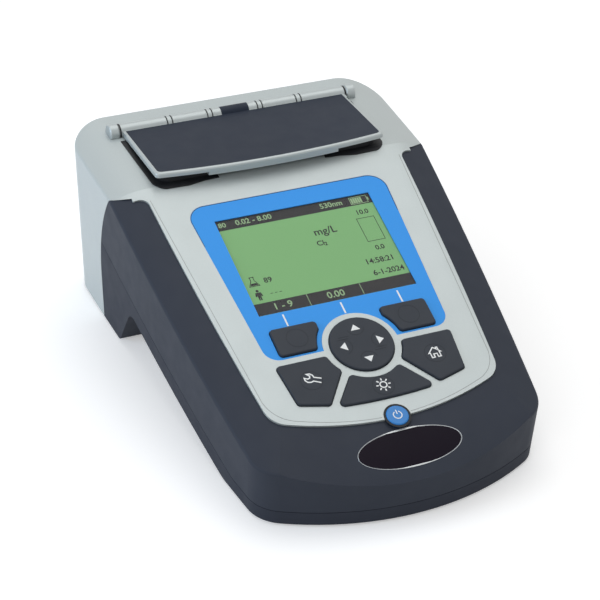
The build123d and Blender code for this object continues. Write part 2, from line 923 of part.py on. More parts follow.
with BuildPart() as lower_housing:
    add(lower_outer.part)
    add(lower_floor.part)
    add(lower_cavity.part, mode=Mode.SUBTRACT)
    add(box_between(shell_low, shell_high))
    add(box_between((-ledge_side, cover_front_y - ledge_end, base_z), (ledge_side, cover_rear_y + ledge_end, bay_ledge_z)))
    for x, y in bench_post_places:
        add(upright(x, y, bench_post_radius, base_z, bench_z))
        add(upright(x, y, screw_radius, bench_z - bench_pilot, far), mode=Mode.SUBTRACT)
    for x, y in foot_places:
        add(upright(x, y, foot_radius + foot_gap + bay_wall, base_z, base_z + foot_recess + bay_wall))
        add(upright(x, y, foot_radius + foot_gap, 0, base_z + foot_recess), mode=Mode.SUBTRACT)
    for x, y in housing_screw_places:
        add(upright(x, y, screw_head_radius + screw_gap + bay_wall, base_z, screw_seat_z))
        add(upright(x, y, screw_head_radius + screw_gap, 0, screw_recess_z), mode=Mode.SUBTRACT)
        add(upright(x, y, screw_radius + screw_gap, 0, far), mode=Mode.SUBTRACT)
    add(box_between(bay_low, bay_high), mode=Mode.SUBTRACT)
    cover_edge = cover_half_width + cover_gap
    recess = (cover_edge, cover_front_y - cover_gap, cover_rear_y + cover_gap, cover_corner + cover_gap, 0, recess_top)
    add(rounded_column(*recess), mode=Mode.SUBTRACT)
    for x, y in cover_screw_places:
        add(upright(x, y, screw_radius, 0, cover_pilot_z), mode=Mode.SUBTRACT)
lower_housing.part.label = "lower_housing"
export_step(lower_housing.part, "parts/lower_housing.step")

# Seal between the housing halves
with BuildPart() as housing_seal:
    add(walls(seal_outer_inset))
    add(walls(seal_inner_inset), mode=Mode.SUBTRACT)
    add(side_block(below_parting(0)), mode=Mode.INTERSECT)
    add(side_block(below_parting(seam_gap)), mode=Mode.SUBTRACT)
    add(side_block(silver_side(seam_gap)), mode=Mode.SUBTRACT)
housing_seal.part.label = "housing_seal"
export_step(housing_seal.part, "parts/housing_seal.step")

# Blue printed overlay with the display and soft key openings
overlay_bottom_h = -overlay_recess
with BuildPart() as display_overlay:
    add(on_deck(overlay_outline(0), overlay_bottom_h, overlay_bottom_h + overlay_thickness))
    add(on_deck(deck_rectangle(display_width / 2, 0, display_height), -1, 1), mode=Mode.SUBTRACT)
    for side in (-1, 1):
        add(on_deck(soft_key_outline(side, key_gap), -1, 1), mode=Mode.SUBTRACT)
display_overlay.part.label = "display_overlay"
export_step(display_overlay.part, "parts/display_overlay.step")

# Clear window under the overlay
with BuildPart() as display_window:
    add(on_deck(window_outline(0), window_top_h - window_thickness, window_top_h))
display_window.part.label = "display_window"
export_step(display_window.part, "parts/display_window.step")

# Liquid crystal panel and the frame that holds it over the board
with BuildPart() as lcd_panel:
    add(on_deck(deck_rectangle(display_width / 2 + lcd_border, -lcd_border, display_height + lcd_border), lcd_bottom_h, lcd_top_h))
lcd_panel.part.label = "lcd_panel"
export_step(lcd_panel.part, "parts/lcd_panel.step")

with BuildPart() as lcd_frame:
    outer = deck_rectangle(display_width / 2 + lcd_border, -lcd_border, display_height + lcd_border)
    inner = deck_rectangle(display_width / 2 - lcd_border, lcd_border, display_height - lcd_border)
    add(on_deck(outer, -board_top_drop, lcd_bottom_h))
    add(on_deck(inner, -board_top_drop, lcd_bottom_h), mode=Mode.SUBTRACT)
lcd_frame.part.label = "lcd_frame"
export_step(lcd_frame.part, "parts/lcd_frame.step")

# Rubber mat with the key contacts, and the main board that it lies on
with BuildPart() as key_mat:
    add(on_deck(deck_rectangle(mat_half_width, mat_top_v, mat_bottom_v), -board_top_drop, mat_top_h))
key_mat.part.label = "key_mat"
export_step(key_mat.part, "parts/key_mat.step")

with BuildPart() as main_board:
    board = deck_rectangle(board_half_width, board_top_v, board_bottom_v)
    add(on_deck(board, -board_top_drop - board_thickness, -board_top_drop))
    for u, v in board_post_places:
        for side in (-1, 1):
            with BuildSketch(deck_plane(-board_top_drop)):
                with Locations((side * u, -v)):
                    Circle(board_hole_radius)
            extrude(amount=-board_thickness, mode=Mode.SUBTRACT)
main_board.part.label = "main_board"
export_step(main_board.part, "parts/main_board.step")

with BuildPart() as board_screws:
    for u, v in board_post_places:
        for side in (-1, 1):
            with BuildSketch(deck_plane(-board_top_drop - board_thickness)):
                with Locations((side * u, -v)):
                    Circle(board_screw_head)
            extrude(amount=-board_screw_head_height)
            with BuildSketch(deck_plane(-board_top_drop - board_thickness)):
                with Locations((side * u, -v)):
                    Circle(board_screw_shank)
            extrude(amount=board_thickness)
board_screws.part.label = "board_screws"
export_step(board_screws.part, "parts/board_screws.step")

# Keys: cap through its hole, flange under the plate, plunger over the mat
deck_up = Axis((0, 0, 0), (0, -slope_sin, slope_cos))
flanges = key_outlines(flange_width)
for name, outline in key_outlines(0).items():
    with BuildPart() as key:
        add(on_deck(outline, flange_top_h, key_proud))
        fillet(key.faces().sort_by(deck_up)[-1].edges(), radius=key_top_round)
        add(on_deck(flanges[name], flange_top_h - flange_thickness, flange_top_h))
        with BuildSketch(deck_plane(plunger_end_h)):
            with Locations(outline.bounding_box().center()):
                Circle(plunger_radius)
        extrude(amount=flange_top_h - flange_thickness - plunger_end_h)
    key.part.label = name
    export_step(key.part, f"parts/{name}.step")

with BuildPart() as power_key:
    add(on_deck(round_outline(power_v, power_radius), power_flange_top_h, power_proud))
    fillet(power_key.faces().sort_by(deck_up)[-1].edges(), radius=key_top_round)
    flange = round_outline(power_v, power_flange_radius)
    add(on_deck(flange, power_flange_top_h - flange_thickness, power_flange_top_h))
    add(on_deck(round_outline(power_v, plunger_radius), plunger_end_h, power_flange_top_h - flange_thickness))
power_key.part.label = "power_key"
export_step(power_key.part, "parts/power_key.step")

# Lid: silver frame with the finger lip, hinge barrels and a recess for its inlay


def lid_outline(grow, bow, reach, half_width, rear):
    """Outline of the lid on its own plane, its front edge bowed out by bow."""
    with BuildSketch() as outline:
        with BuildLine():
            Line((-half_width, rear), (half_width, rear))
            Line((half_width, rear), (half_width, -reach))
            ThreePointArc((half_width, -reach), (0, -reach - bow), (-half_width, -reach))
            Line((-half_width, -reach), (-half_width, rear))
        make_face()
        fillet(outline.vertices().sort_by(Axis.Y)[:2], radius=lid_corner)
        if grow != 0:
            offset(amount=grow)
    return outline.sketch


def lid_strip(half_width, front, rear):
    """Rectangle across the lid's plane between two distances from its rear edge."""
    with BuildSketch() as outline:
        with Locations((0, (front + rear) / 2)):
            Rectangle(2 * half_width, rear - front)
    return outline.sketch


def on_lid(outline, low, high):
    """Extrude an outline between two heights over the lid's top plane."""
    with BuildPart() as solid:
        with BuildSketch(lid_plane(low)):
            add(outline)
        extrude(amount=high - low)
    return solid.part


def barrel_cut(radius, overlap):
    """Cylinders about the hinge axis where the housing's knuckles and the caps turn in the lid."""
    with BuildPart() as cut:
        for side in (-1, 1):
            for inner in knuckle_inner:
                ends = sorted((side * (inner - overlap), side * (inner + knuckle_width + overlap)))
                add(along_x(hinge_y, hinge_z, radius, *ends))
            ends = sorted((side * (cap_inner_x - overlap), side * far))
            add(along_x(hinge_y, hinge_z, radius, *ends))
    return cut.part


def inlay_form(sink, thickness, grow):
    """Lid inlay with its tab over the barrel, grown by grow."""
    inner = (lid_reach - lid_rim, lid_half_width - lid_rim)
    with BuildPart() as form:
        add(on_lid(lid_outline(grow, lid_bow, inner[0], inner[1], inlay_rear), -sink - thickness, -sink))
        tab = lid_strip(tab_half_width + grow, -lid_root, inlay_tab_rear)
        add(on_lid(tab, -sink - thickness, -sink))
        with BuildPart(mode=Mode.PRIVATE) as wrap:
            add(along_x(hinge_y, hinge_z, barrel_radius, -tab_half_width - grow, tab_half_width + grow))
            add(along_x(hinge_y, hinge_z, barrel_radius - tab_thickness - grow, -far, far), mode=Mode.SUBTRACT)
            add(box_between((-far, -far, -far), (far, far, hinge_z - tab_drop - grow)), mode=Mode.SUBTRACT)
            add(box_between((-far, -far, -far), (far, hinge_y, lid_rear_z - sink - thickness)), mode=Mode.SUBTRACT)
        add(wrap.part)
    return form.part


with BuildPart() as lid_frame:
    add(on_lid(lid_outline(0, lid_bow, lid_reach, lid_half_width, 0), -lid_thickness, 0))
    fillet(lid_frame.faces().sort_by(Axis.Z)[-1].edges().sort_by(Axis.Y)[:-1], radius=lid_edge_round)
    add(on_lid(lid_strip(lid_half_width, -lid_root, lid_root), -lid_thickness, 0))
    add(along_x(hinge_y, hinge_z, barrel_radius, -cap_inner_x + knuckle_gap, cap_inner_x - knuckle_gap))
    with BuildPart(mode=Mode.PRIVATE) as lip_block:
        add(on_lid(lid_outline(-lip_setback, lid_bow, lid_reach, lid_half_width, 0), -lid_thickness - lip_drop, -lid_thickness))
        add(on_lid(lid_outline(-lip_setback - lip_thickness, lid_bow, lid_reach, lid_half_width, 0), -far, 0), mode=Mode.SUBTRACT)
        add(box_between((-lip_half_width, -far, 0), (lip_half_width, cell_y, far)), mode=Mode.INTERSECT)
    add(lip_block.part)
    add(barrel_cut(barrel_radius + groove_clearance, knuckle_gap), mode=Mode.SUBTRACT)
    add(inlay_form(0, inlay_thickness + inlay_sink, inlay_gap), mode=Mode.SUBTRACT)
    add(along_x(hinge_y, hinge_z, pin_radius + pin_clearance, -far, far), mode=Mode.SUBTRACT)
lid_frame.part.label = "lid_frame"
export_step(lid_frame.part, "parts/lid_frame.step")

# Dark inlay plate of the lid, its middle tab running over the hinge barrel
with BuildPart() as lid_inlay:
    add(inlay_form(inlay_sink, inlay_thickness, 0))
lid_inlay.part.label = "lid_inlay"
export_step(lid_inlay.part, "parts/lid_inlay.step")

# Light baffle under the lid
with BuildPart() as lid_baffle:
    baffle_front = cell_y - baffle_half_depth
    baffle_rear = cell_y + baffle_half_depth
    baffle = (baffle_half_width, baffle_front, baffle_rear, tray_corner, lid_rear_z - 10, lid_rear_z + 10)
    add(rounded_column(*baffle))
    add(on_lid(lid_strip(far, -far, far), -lid_thickness - baffle_drop, -lid_thickness), mode=Mode.INTERSECT)
lid_baffle.part.label = "lid_baffle"
export_step(lid_baffle.part, "parts/lid_baffle.step")

# Hinge pin and the caps that hide its ends
with BuildPart() as hinge_pin:
    add(along_x(hinge_y, hinge_z, pin_radius, -pin_half_length, pin_half_length))
hinge_pin.part.label = "hinge_pin"
export_step(hinge_pin.part, "parts/hinge_pin.step")

with BuildPart() as hinge_caps:
    for side in (-1, 1):
        ends = sorted((side * cap_inner_x, side * (cap_inner_x + cap_length)))
        add(along_x(hinge_y, hinge_z, cap_radius, *ends))
    chamfer(hinge_caps.edges().filter_by(GeomType.CIRCLE), length=cap_chamfer)
    add(along_x(hinge_y, hinge_z, pin_radius, -pin_half_length, pin_half_length), mode=Mode.SUBTRACT)
hinge_caps.part.label = "hinge_caps"
export_step(hinge_caps.part, "parts/hinge_caps.step")

# Black collar under the lid, with the sample tray sunk into it
with BuildPart() as rear_deck_space:
    with BuildSketch(rear_plane(0)):
        Rectangle(2 * far, 2 * far)
    extrude(amount=far)

lid_underside = lid_thickness + collar_lid_gap
with BuildPart() as cell_collar:
    plinth = (collar_half_width, collar_front_y, collar_rear_y, collar_corner, lid_rear_z - 10, lid_rear_z + 10)
    add(rounded_column(*plinth))
    add(rear_deck_space.part, mode=Mode.INTERSECT)
    with BuildPart(mode=Mode.PRIVATE) as tray:
        add(tray_column(tray_wall, cell_top_z - tray_floor, lid_rear_z))
    add(tray.part)
    add(on_lid(lid_strip(far, -far, far), -far, -lid_underside), mode=Mode.INTERSECT)
    add(tray_column(0, cell_top_z, far), mode=Mode.SUBTRACT)
    add(upright(0, cell_y, cell_bore_radius, 0, far), mode=Mode.SUBTRACT)
cell_collar.part.label = "cell_collar"
export_step(cell_collar.part, "parts/cell_collar.step")

# Rubber light seal on the collar
with BuildPart() as lid_seal:
    add(tray_column(seal_outer_grow, cell_top_z, far))
    add(tray_column(seal_inner_grow, 0, far), mode=Mode.SUBTRACT)
    level = lid_underside - lid_seal_height
    add(on_lid(lid_strip(far, -far, far), -lid_underside, -level), mode=Mode.INTERSECT)
lid_seal.part.label = "lid_seal"
export_step(lid_seal.part, "parts/lid_seal.step")

# Well that holds the sample cell in the light beam
bench_top_z = bench_z + bench_thickness
with BuildPart() as cell_well:
    add(upright(0, cell_y, cell_bore_radius + well_wall, bench_top_z, cell_top_z - tray_floor))
    add(upright(0, cell_y, cell_bore_radius, cell_bottom_z, far), mode=Mode.SUBTRACT)
    add(along_x(cell_y, beam_z, beam_radius, -far, far), mode=Mode.SUBTRACT)
cell_well.part.label = "cell_well"
export_step(cell_well.part, "parts/cell_well.step")

# Leaf spring that presses the cell to the front of the well
with BuildPart() as cell_spring:
    back_y = cell_y + cell_bore_radius - spring_edge
    face_y = back_y - spring_thickness
    middle_z = (spring_top_z + spring_foot_z) / 2
    with BuildSketch(Plane.YZ.offset(-spring_width / 2)):
        with BuildLine():
            Line((face_y, spring_top_z), (back_y, spring_top_z))
            ThreePointArc((back_y, spring_top_z), (back_y - spring_bow, middle_z), (back_y, spring_foot_z))
            Line((back_y, spring_foot_z), (face_y, spring_foot_z))
            ThreePointArc((face_y, spring_foot_z), (face_y - spring_bow, middle_z), (face_y, spring_top_z))
        make_face()
    extrude(amount=spring_width)
cell_spring.part.label = "cell_spring"
export_step(cell_spring.part, "parts/cell_spring.step")

# Optics bench with upright lens mounts
mount_places = (-lens_offset, lens_offset)
with BuildPart() as optics_bench:
    add(box_between((-bench_half_width, bench_front_y, bench_z), (bench_half_width, bench_rear_y, bench_top_z)))
    for x in mount_places:
        low = (x - lens_mount_half, cell_y - lens_mount_side, bench_top_z)
        high = (x + lens_mount_half, cell_y + lens_mount_side, beam_z + lens_mount_side)
        add(box_between(low, high))
        add(along_x(cell_y, beam_z, lens_radius, x - lens_mount_half, x + lens_mount_half), mode=Mode.SUBTRACT)
    for x, y in bench_post_places:
        add(upright(x, y, screw_radius + screw_gap, 0, far), mode=Mode.SUBTRACT)
optics_bench.part.label = "optics_bench"
export_step(optics_bench.part, "parts/optics_bench.step")

with BuildPart() as bench_screws:
    for x, y in bench_post_places:
        add(upright(x, y, screw_head_radius, bench_top_z, bench_top_z + screw_head_height))
        add(upright(x, y, screw_radius, bench_z - bench_pilot, bench_top_z))
bench_screws.part.label = "bench_screws"
export_step(bench_screws.part, "parts/bench_screws.step")

# Lamp in its holder
with BuildPart() as lamp_holder:
    low = (lamp_x - lamp_holder_half, cell_y - lamp_holder_half, bench_top_z)
    high = (lamp_x + lamp_holder_half, cell_y + lamp_holder_half, lamp_base_z + lamp_socket)
    add(box_between(low, high))
    add(upright(lamp_x, cell_y, lamp_radius + lamp_gap, lamp_base_z, far), mode=Mode.SUBTRACT)
lamp_holder.part.label = "lamp_holder"
export_step(lamp_holder.part, "parts/lamp_holder.step")

with BuildPart() as lamp:
    add(upright(lamp_x, cell_y, lamp_radius, lamp_base_z, lamp_base_z + lamp_length))
    fillet(lamp.faces().sort_by(Axis.Z)[-1].edges(), radius=lamp_radius - 0.5)
lamp.part.label = "lamp"
export_step(lamp.part, "parts/lamp.step")

# Two lenses in the mounts
for name, x in (("condenser_lens", -lens_offset), ("exit_lens", lens_offset)):
    edge_x = lens_thickness / 2
    edge_r = lens_radius - lens_gap
    bulge_r = (edge_r ** 2 + lens_bulge ** 2) / (2 * lens_bulge)
    mid_r = edge_r / 2
    mid_x = edge_x + lens_bulge - bulge_r + sqrt(bulge_r ** 2 - mid_r ** 2)
    with BuildPart() as lens:
        with BuildSketch(Plane(origin=(x, cell_y, beam_z), x_dir=(1, 0, 0), z_dir=(0, -1, 0))):
            with BuildLine():
                ThreePointArc((-edge_x - lens_bulge, 0), (-mid_x, mid_r), (-edge_x, edge_r))
                Line((-edge_x, edge_r), (edge_x, edge_r))
                ThreePointArc((edge_x, edge_r), (mid_x, mid_r), (edge_x + lens_bulge, 0))
                Line((edge_x + lens_bulge, 0), (-edge_x - lens_bulge, 0))
            make_face()
        revolve(axis=Axis((x, cell_y, beam_z), (1, 0, 0)))
    lens.part.label = name
    export_step(lens.part, f"parts/{name}.step")

# Slit, grating and detector array
with BuildPart() as entrance_slit:
    low = (slit_x, cell_y - slit_half, bench_top_z)
    high = (slit_x + slit_plate, cell_y + slit_half, beam_z + slit_half)
    add(box_between(low, high))
    opening = (slit_x - 1, cell_y - slit_width / 2, beam_z - slit_height / 2)
    opening_end = (slit_x + slit_plate + 1, cell_y + slit_width / 2, beam_z + slit_height / 2)
    add(box_between(opening, opening_end), mode=Mode.SUBTRACT)
entrance_slit.part.label = "entrance_slit"
export_step(entrance_slit.part, "parts/entrance_slit.step")

with BuildPart() as grating_mount:
    with BuildSketch(Plane.XY.offset(bench_top_z)):
        with Locations(Location((grating_x, cell_y), grating_turn)):
            Rectangle(grating_mount_depth, grating_width)
    extrude(amount=grating_mount_height)
grating_mount.part.label = "grating_mount"
export_step(grating_mount.part, "parts/grating_mount.step")

with BuildPart() as grating:
    turn = radians(grating_turn)
    shift = (grating_mount_depth + grating_thickness) / 2
    with BuildSketch(Plane.XY.offset(beam_z - grating_width / 2)):
        with Locations(Location((grating_x - shift * cos(turn), cell_y - shift * sin(turn)), grating_turn)):
            Rectangle(grating_thickness, grating_width)
    extrude(amount=grating_width)
grating.part.label = "grating"
export_step(grating.part, "parts/grating.step")

with BuildPart() as detector_board:
    low = (detector_x - detector_board_half, detector_y, bench_top_z)
    high = (detector_x + detector_board_half, detector_y + board_thickness, beam_z + detector_board_rise)
    add(box_between(low, high))
detector_board.part.label = "detector_board"
export_step(detector_board.part, "parts/detector_board.step")

with BuildPart() as detector_array:
    low = (detector_x - detector_half, detector_y - detector_depth, beam_z - detector_rise)
    high = (detector_x + detector_half, detector_y, beam_z + detector_rise)
    add(box_between(low, high))
detector_array.part.label = "detector_array"
export_step(detector_array.part, "parts/detector_array.step")

# Four AA cells along Y and their contacts
cell_z = recess_top + aa_radius + aa_lift
aa_places = [(i - (aa_count - 1) / 2) * aa_pitch for i in range(aa_count)]
aa_front = bay_front_y + contact_thickness + aa_slack
with BuildPart() as battery_cells:
    for i, x in enumerate(aa_places):
        add(along_y(x, cell_z, aa_radius, aa_front + aa_nub_length, aa_front + aa_nub_length + aa_length))
        if i % 2 == 0:
            add(along_y(x, cell_z, aa_nub_radius, aa_front, aa_front + aa_nub_length))
        else:
            nub_start = aa_front + aa_nub_length + aa_length
            add(along_y(x, cell_z, aa_nub_radius, nub_start, nub_start + aa_nub_length))
battery_cells.part.label = "battery_cells"
export_step(battery_cells.part, "parts/battery_cells.step")

with BuildPart() as battery_contacts:
    for x in aa_places:
        low = (x - contact_half, bay_front_y, cell_z - contact_half)
        high = (x + contact_half, bay_front_y + contact_thickness, cell_z + contact_half)
        add(box_between(low, high))
        low = (x - contact_half, bay_rear_y - contact_thickness, cell_z - contact_half)
        high = (x + contact_half, bay_rear_y, cell_z + contact_half)
        add(box_between(low, high))
battery_contacts.part.label = "battery_contacts"
export_step(battery_contacts.part, "parts/battery_contacts.step")

# Battery cover with its seal and screws
cover_top = base_z + cover_thickness
with BuildPart() as battery_cover:
    add(rounded_column(cover_half_width, cover_front_y, cover_rear_y, cover_corner, base_z, cover_top))
    for x, y in cover_screw_places:
        add(upright(x, y, screw_radius + screw_gap, 0, far), mode=Mode.SUBTRACT)
        add(upright(x, y, screw_head_radius + screw_gap, 0, base_z + cover_sink), mode=Mode.SUBTRACT)
battery_cover.part.label = "battery_cover"
export_step(battery_cover.part, "parts/battery_cover.step")

with BuildPart() as cover_seal:
    add(rounded_column(cover_half_width, cover_front_y, cover_rear_y, cover_corner, cover_top, recess_top))
    inner_y = (cover_front_y + seal_width, cover_rear_y - seal_width)
    inner = (cover_half_width - seal_width, *inner_y, cover_corner - seal_width, cover_top, recess_top)
    add(rounded_column(*inner), mode=Mode.SUBTRACT)
cover_seal.part.label = "cover_seal"
export_step(cover_seal.part, "parts/cover_seal.step")

with BuildPart() as cover_screws:
    for x, y in cover_screw_places:
        add(upright(x, y, screw_head_radius, base_z, base_z + cover_sink))
        add(upright(x, y, screw_radius, base_z + cover_sink, cover_pilot_z - 1))
cover_screws.part.label = "cover_screws"
export_step(cover_screws.part, "parts/cover_screws.step")

# Screws that hold the housing together, from below
with BuildPart() as housing_screws:
    for x, y in housing_screw_places:
        add(upright(x, y, screw_head_radius, screw_recess_z - screw_head_height, screw_recess_z))
        add(upright(x, y, screw_radius, screw_recess_z, screw_end_z))
housing_screws.part.label = "housing_screws"
export_step(housing_screws.part, "parts/housing_screws.step")

# Rubber feet
with BuildPart() as feet:
    for x, y in foot_places:
        add(upright(x, y, foot_radius, 0, base_z + foot_recess))
    fillet(feet.faces().sort_by(Axis.Z)[:4].edges(), radius=foot_round)
feet.part.label = "feet"
export_step(feet.part, "parts/feet.step")
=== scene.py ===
"""Looks of a portable spectrophotometer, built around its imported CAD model."""

import logging
from dataclasses import dataclass, field
from enum import Enum
from math import cos, hypot, radians, sin

import bpy
from mathutils import Matrix, Vector


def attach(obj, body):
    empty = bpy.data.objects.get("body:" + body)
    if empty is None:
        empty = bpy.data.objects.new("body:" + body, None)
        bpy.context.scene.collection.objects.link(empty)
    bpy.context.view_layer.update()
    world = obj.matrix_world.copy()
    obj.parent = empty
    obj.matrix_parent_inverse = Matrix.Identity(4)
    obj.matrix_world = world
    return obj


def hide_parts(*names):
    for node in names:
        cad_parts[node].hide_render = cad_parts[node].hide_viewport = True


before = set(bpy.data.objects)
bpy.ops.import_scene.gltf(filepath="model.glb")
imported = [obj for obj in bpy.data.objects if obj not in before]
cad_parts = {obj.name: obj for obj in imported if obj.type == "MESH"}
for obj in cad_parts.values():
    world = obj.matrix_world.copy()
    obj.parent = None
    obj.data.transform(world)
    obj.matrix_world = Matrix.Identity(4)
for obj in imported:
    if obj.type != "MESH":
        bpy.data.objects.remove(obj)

LOG = logging.getLogger("spectrophotometer")
MM = 0.001
CAPITAL_SHARE = 0.72
LETTER_WEIGHT = 0.09
LETTER_STEPS = 3
NOISE_LOW = 0.3
NOISE_HIGH = 0.7
ABOVE_DECK = 12.0
RAY_START = 30.0
MERGE_DISTANCE = 1e-7
WHITE = (1.0, 1.0, 1.0)
HERE = Matrix.Identity(4)

Colour = tuple[float, float, float]
Spot = tuple[float, float, float]
Point = tuple[float, float]
Span = tuple[float, float]
Outline = list[Point]
Shape = tuple[Point, ...]
Box = tuple[float, float, float, float]
Piece = bpy.types.Object
Material = bpy.types.Material
Socket = bpy.types.NodeSocket


class Body(Enum):
    """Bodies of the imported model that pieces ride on."""

    HOUSING = "housing"
    LID = "lid"
    SOFT_LEFT = "soft_key_left_body"
    SOFT_RIGHT = "soft_key_right_body"
    NAV = "nav_pad_body"
    SETTINGS = "settings_key_body"
    BACKLIGHT = "backlight_key_body"
    HOME = "home_key_body"
    POWER = "power_key_body"


def rgba(colour: Colour) -> tuple[float, float, float, float]:
    """Give a colour with a full alpha."""
    return (*colour, 1.0)


def shade(colour: Colour, factor: float) -> Colour:
    """Give a colour made lighter or darker by a factor."""
    return tuple(min(1.0, part * factor) for part in colour)


def fill(node: bpy.types.Node, **values: float | tuple[float, ...]) -> None:
    """Set a node's inputs, with underscores for the spaces in their names."""
    for name, value in values.items():
        node.inputs[name.replace("_", " ")].default_value = value


class NodeSheet:
    """Node tree of one material, with short calls for the nodes that the finishes use."""

    def __init__(self, name: str) -> None:
        """Start a material with an empty surface.

        Args:
            name: Name of the material.
        """
        self.material = bpy.data.materials.new(name)
        self.material.use_nodes = True
        self.tree = self.material.node_tree
        self.shader = self.tree.nodes["Principled BSDF"]
        self.output = self.tree.nodes["Material Output"]
        self.place = self.add("ShaderNodeTexCoord").outputs["Object"]

    def add(self, kind: str) -> bpy.types.Node:
        """Add a node of a kind."""
        return self.tree.nodes.new(kind)

    def join(self, out: Socket, into: Socket) -> None:
        """Join an output to an input."""
        self.tree.links.new(out, into)

    def noise(self, size_mm: float, detail: float = 2.0, roughness: float = 0.5) -> Socket:
        """Add noise whose features have about a given size.

        Args:
            size_mm: Size of a feature in millimetres.
            detail: Number of finer layers.
            roughness: Weight of the finer layers.

        Returns:
            The noise's factor output.
        """
        node = self.add("ShaderNodeTexNoise")
        fill(node, Scale=1.0 / (size_mm * MM), Detail=detail, Roughness=roughness)
        self.join(self.place, node.inputs["Vector"])
        return node.outputs["Fac"]

    def spread(self, value: Socket, low: float, high: float) -> Socket:
        """Map a factor from its usual middle range to two values.

        Args:
            value: Factor between 0 and 1.
            low: Value at the range's start.
            high: Value at the range's end.

        Returns:
            The mapped value.
        """
        node = self.add("ShaderNodeMapRange")
        fill(node, From_Min=NOISE_LOW, From_Max=NOISE_HIGH, To_Min=low, To_Max=high)
        self.join(value, node.inputs["Value"])
        return node.outputs["Result"]

    def colour(self, factor: Socket, colour: Colour, low: float, high: float) -> None:
        """Colour the surface with a darker and a lighter shade of one colour.

        Args:
            factor: Share of the lighter shade.
            colour: The colour.
            low: Factor of the darker shade.
            high: Factor of the lighter shade.
        """
        node = self.add("ShaderNodeMix")
        node.data_type = "RGBA"
        fill(node, A=rgba(shade(colour, low)), B=rgba(shade(colour, high)))
        self.join(factor, node.inputs["Factor"])
        self.join(node.outputs["Result"], self.shader.inputs["Base Color"])

    def gloss(self, value: Socket, low: float, high: float) -> None:
        """Spread the surface's roughness between two values."""
        self.join(self.spread(value, low, high), self.shader.inputs["Roughness"])

    def bump(self, height: Socket, depth_mm: float) -> None:
        """Bump the surface by a height.

        Args:
            height: Height between 0 and 1.
            depth_mm: Depth of the bump in millimetres.
        """
        node = self.add("ShaderNodeBump")
        fill(node, Strength=1.0, Distance=depth_mm * MM)
        self.join(height, node.inputs["Height"])
        self.join(node.outputs["Normal"], self.shader.inputs["Normal"])

    def set(self, **values: float | tuple[float, ...]) -> None:
        """Set the shader's own inputs, with underscores for the spaces in their names."""
        fill(self.shader, **values)


@dataclass(frozen=True)
class Plastic:
    """Plastic with a fine moulded texture and a slight unevenness of tone and gloss."""

    name: str
    colour: Colour
    roughness: float
    grain_mm: float = 0.35
    grain_depth_mm: float = 0.02
    tone: float = 0.08
    coat: float = 0.0
    coat_roughness: float = 0.3
    specular: float = 0.5
    mottle_mm: float = 28.0
    gloss_mm: float = 9.0

    def build(self) -> Material:
        """Build the material.

        Returns:
            The material.
        """
        sheet = NodeSheet(self.name)
        sheet.colour(sheet.noise(self.mottle_mm, 3.0), self.colour, 1 - self.tone, 1 + self.tone)
        sheet.gloss(sheet.noise(self.gloss_mm), self.roughness - 0.03, self.roughness + 0.04)
        sheet.bump(sheet.noise(self.grain_mm, 3.0), self.grain_depth_mm)
        sheet.set(Coat_Weight=self.coat, Coat_Roughness=self.coat_roughness)
        sheet.set(Specular_IOR_Level=self.specular)
        return sheet.material


@dataclass(frozen=True)
class FlakePaint:
    """Silver paint with metal flakes under a satin coat."""

    name: str
    colour: Colour
    roughness: float
    metallic: float = 0.35
    flake_mm: float = 0.12
    gloss_mm: float = 14.0
    peel_mm: float = 0.5
    peel_depth_mm: float = 0.008

    def build(self) -> Material:
        """Build the material.

        Returns:
            The material.
        """
        sheet = NodeSheet(self.name)
        flakes = sheet.spread(sheet.noise(self.flake_mm, 1.0), 0.0, 1.0)
        sheet.colour(flakes, self.colour, 0.93, 1.07)
        sheet.gloss(sheet.noise(self.gloss_mm, 3.0), self.roughness - 0.03, self.roughness + 0.03)
        sheet.bump(sheet.noise(self.peel_mm, 3.0), self.peel_depth_mm)
        sheet.set(Metallic=self.metallic, Coat_Weight=0.15, Coat_Roughness=0.35)
        return sheet.material


@dataclass(frozen=True)
class Film:
    """Satin printed film with a very fine hammered surface."""

    name: str
    colour: Colour
    roughness: float = 0.38
    specular: float = 0.14
    dot_mm: float = 0.3
    grain_mm: float = 0.45
    grain_depth_mm: float = 0.006

    def build(self) -> Material:
        """Build the material.

        Returns:
            The material.
        """
        sheet = NodeSheet(self.name)
        dots = sheet.spread(sheet.noise(self.dot_mm, 1.0), 0.0, 1.0)
        sheet.colour(dots, self.colour, 0.97, 1.03)
        sheet.bump(sheet.noise(self.grain_mm, 2.0), self.grain_depth_mm)
        sheet.set(Roughness=self.roughness, Specular_IOR_Level=self.specular)
        return sheet.material


@dataclass(frozen=True)
class Metal:
    """Bare metal with fine turned or brushed lines."""

    name: str
    colour: Colour
    roughness: float
    streak: Spot = (1.0, 1.0, 12.0)
    line_mm: float = 1.2
    line_depth_mm: float = 0.01

    def build(self) -> Material:
        """Build the material.

        Returns:
            The material.
        """
        sheet = NodeSheet(self.name)
        mapping = sheet.add("ShaderNodeMapping")
        mapping.inputs["Scale"].default_value = self.streak
        sheet.join(sheet.place, mapping.inputs["Vector"])
        sheet.place = mapping.outputs["Vector"]
        lines = sheet.noise(self.line_mm, 4.0, 0.6)
        sheet.colour(lines, self.colour, 0.86, 1.1)
        sheet.gloss(lines, self.roughness - 0.06, self.roughness + 0.08)
        sheet.bump(lines, self.line_depth_mm)
        sheet.set(Metallic=1.0)
        return sheet.material


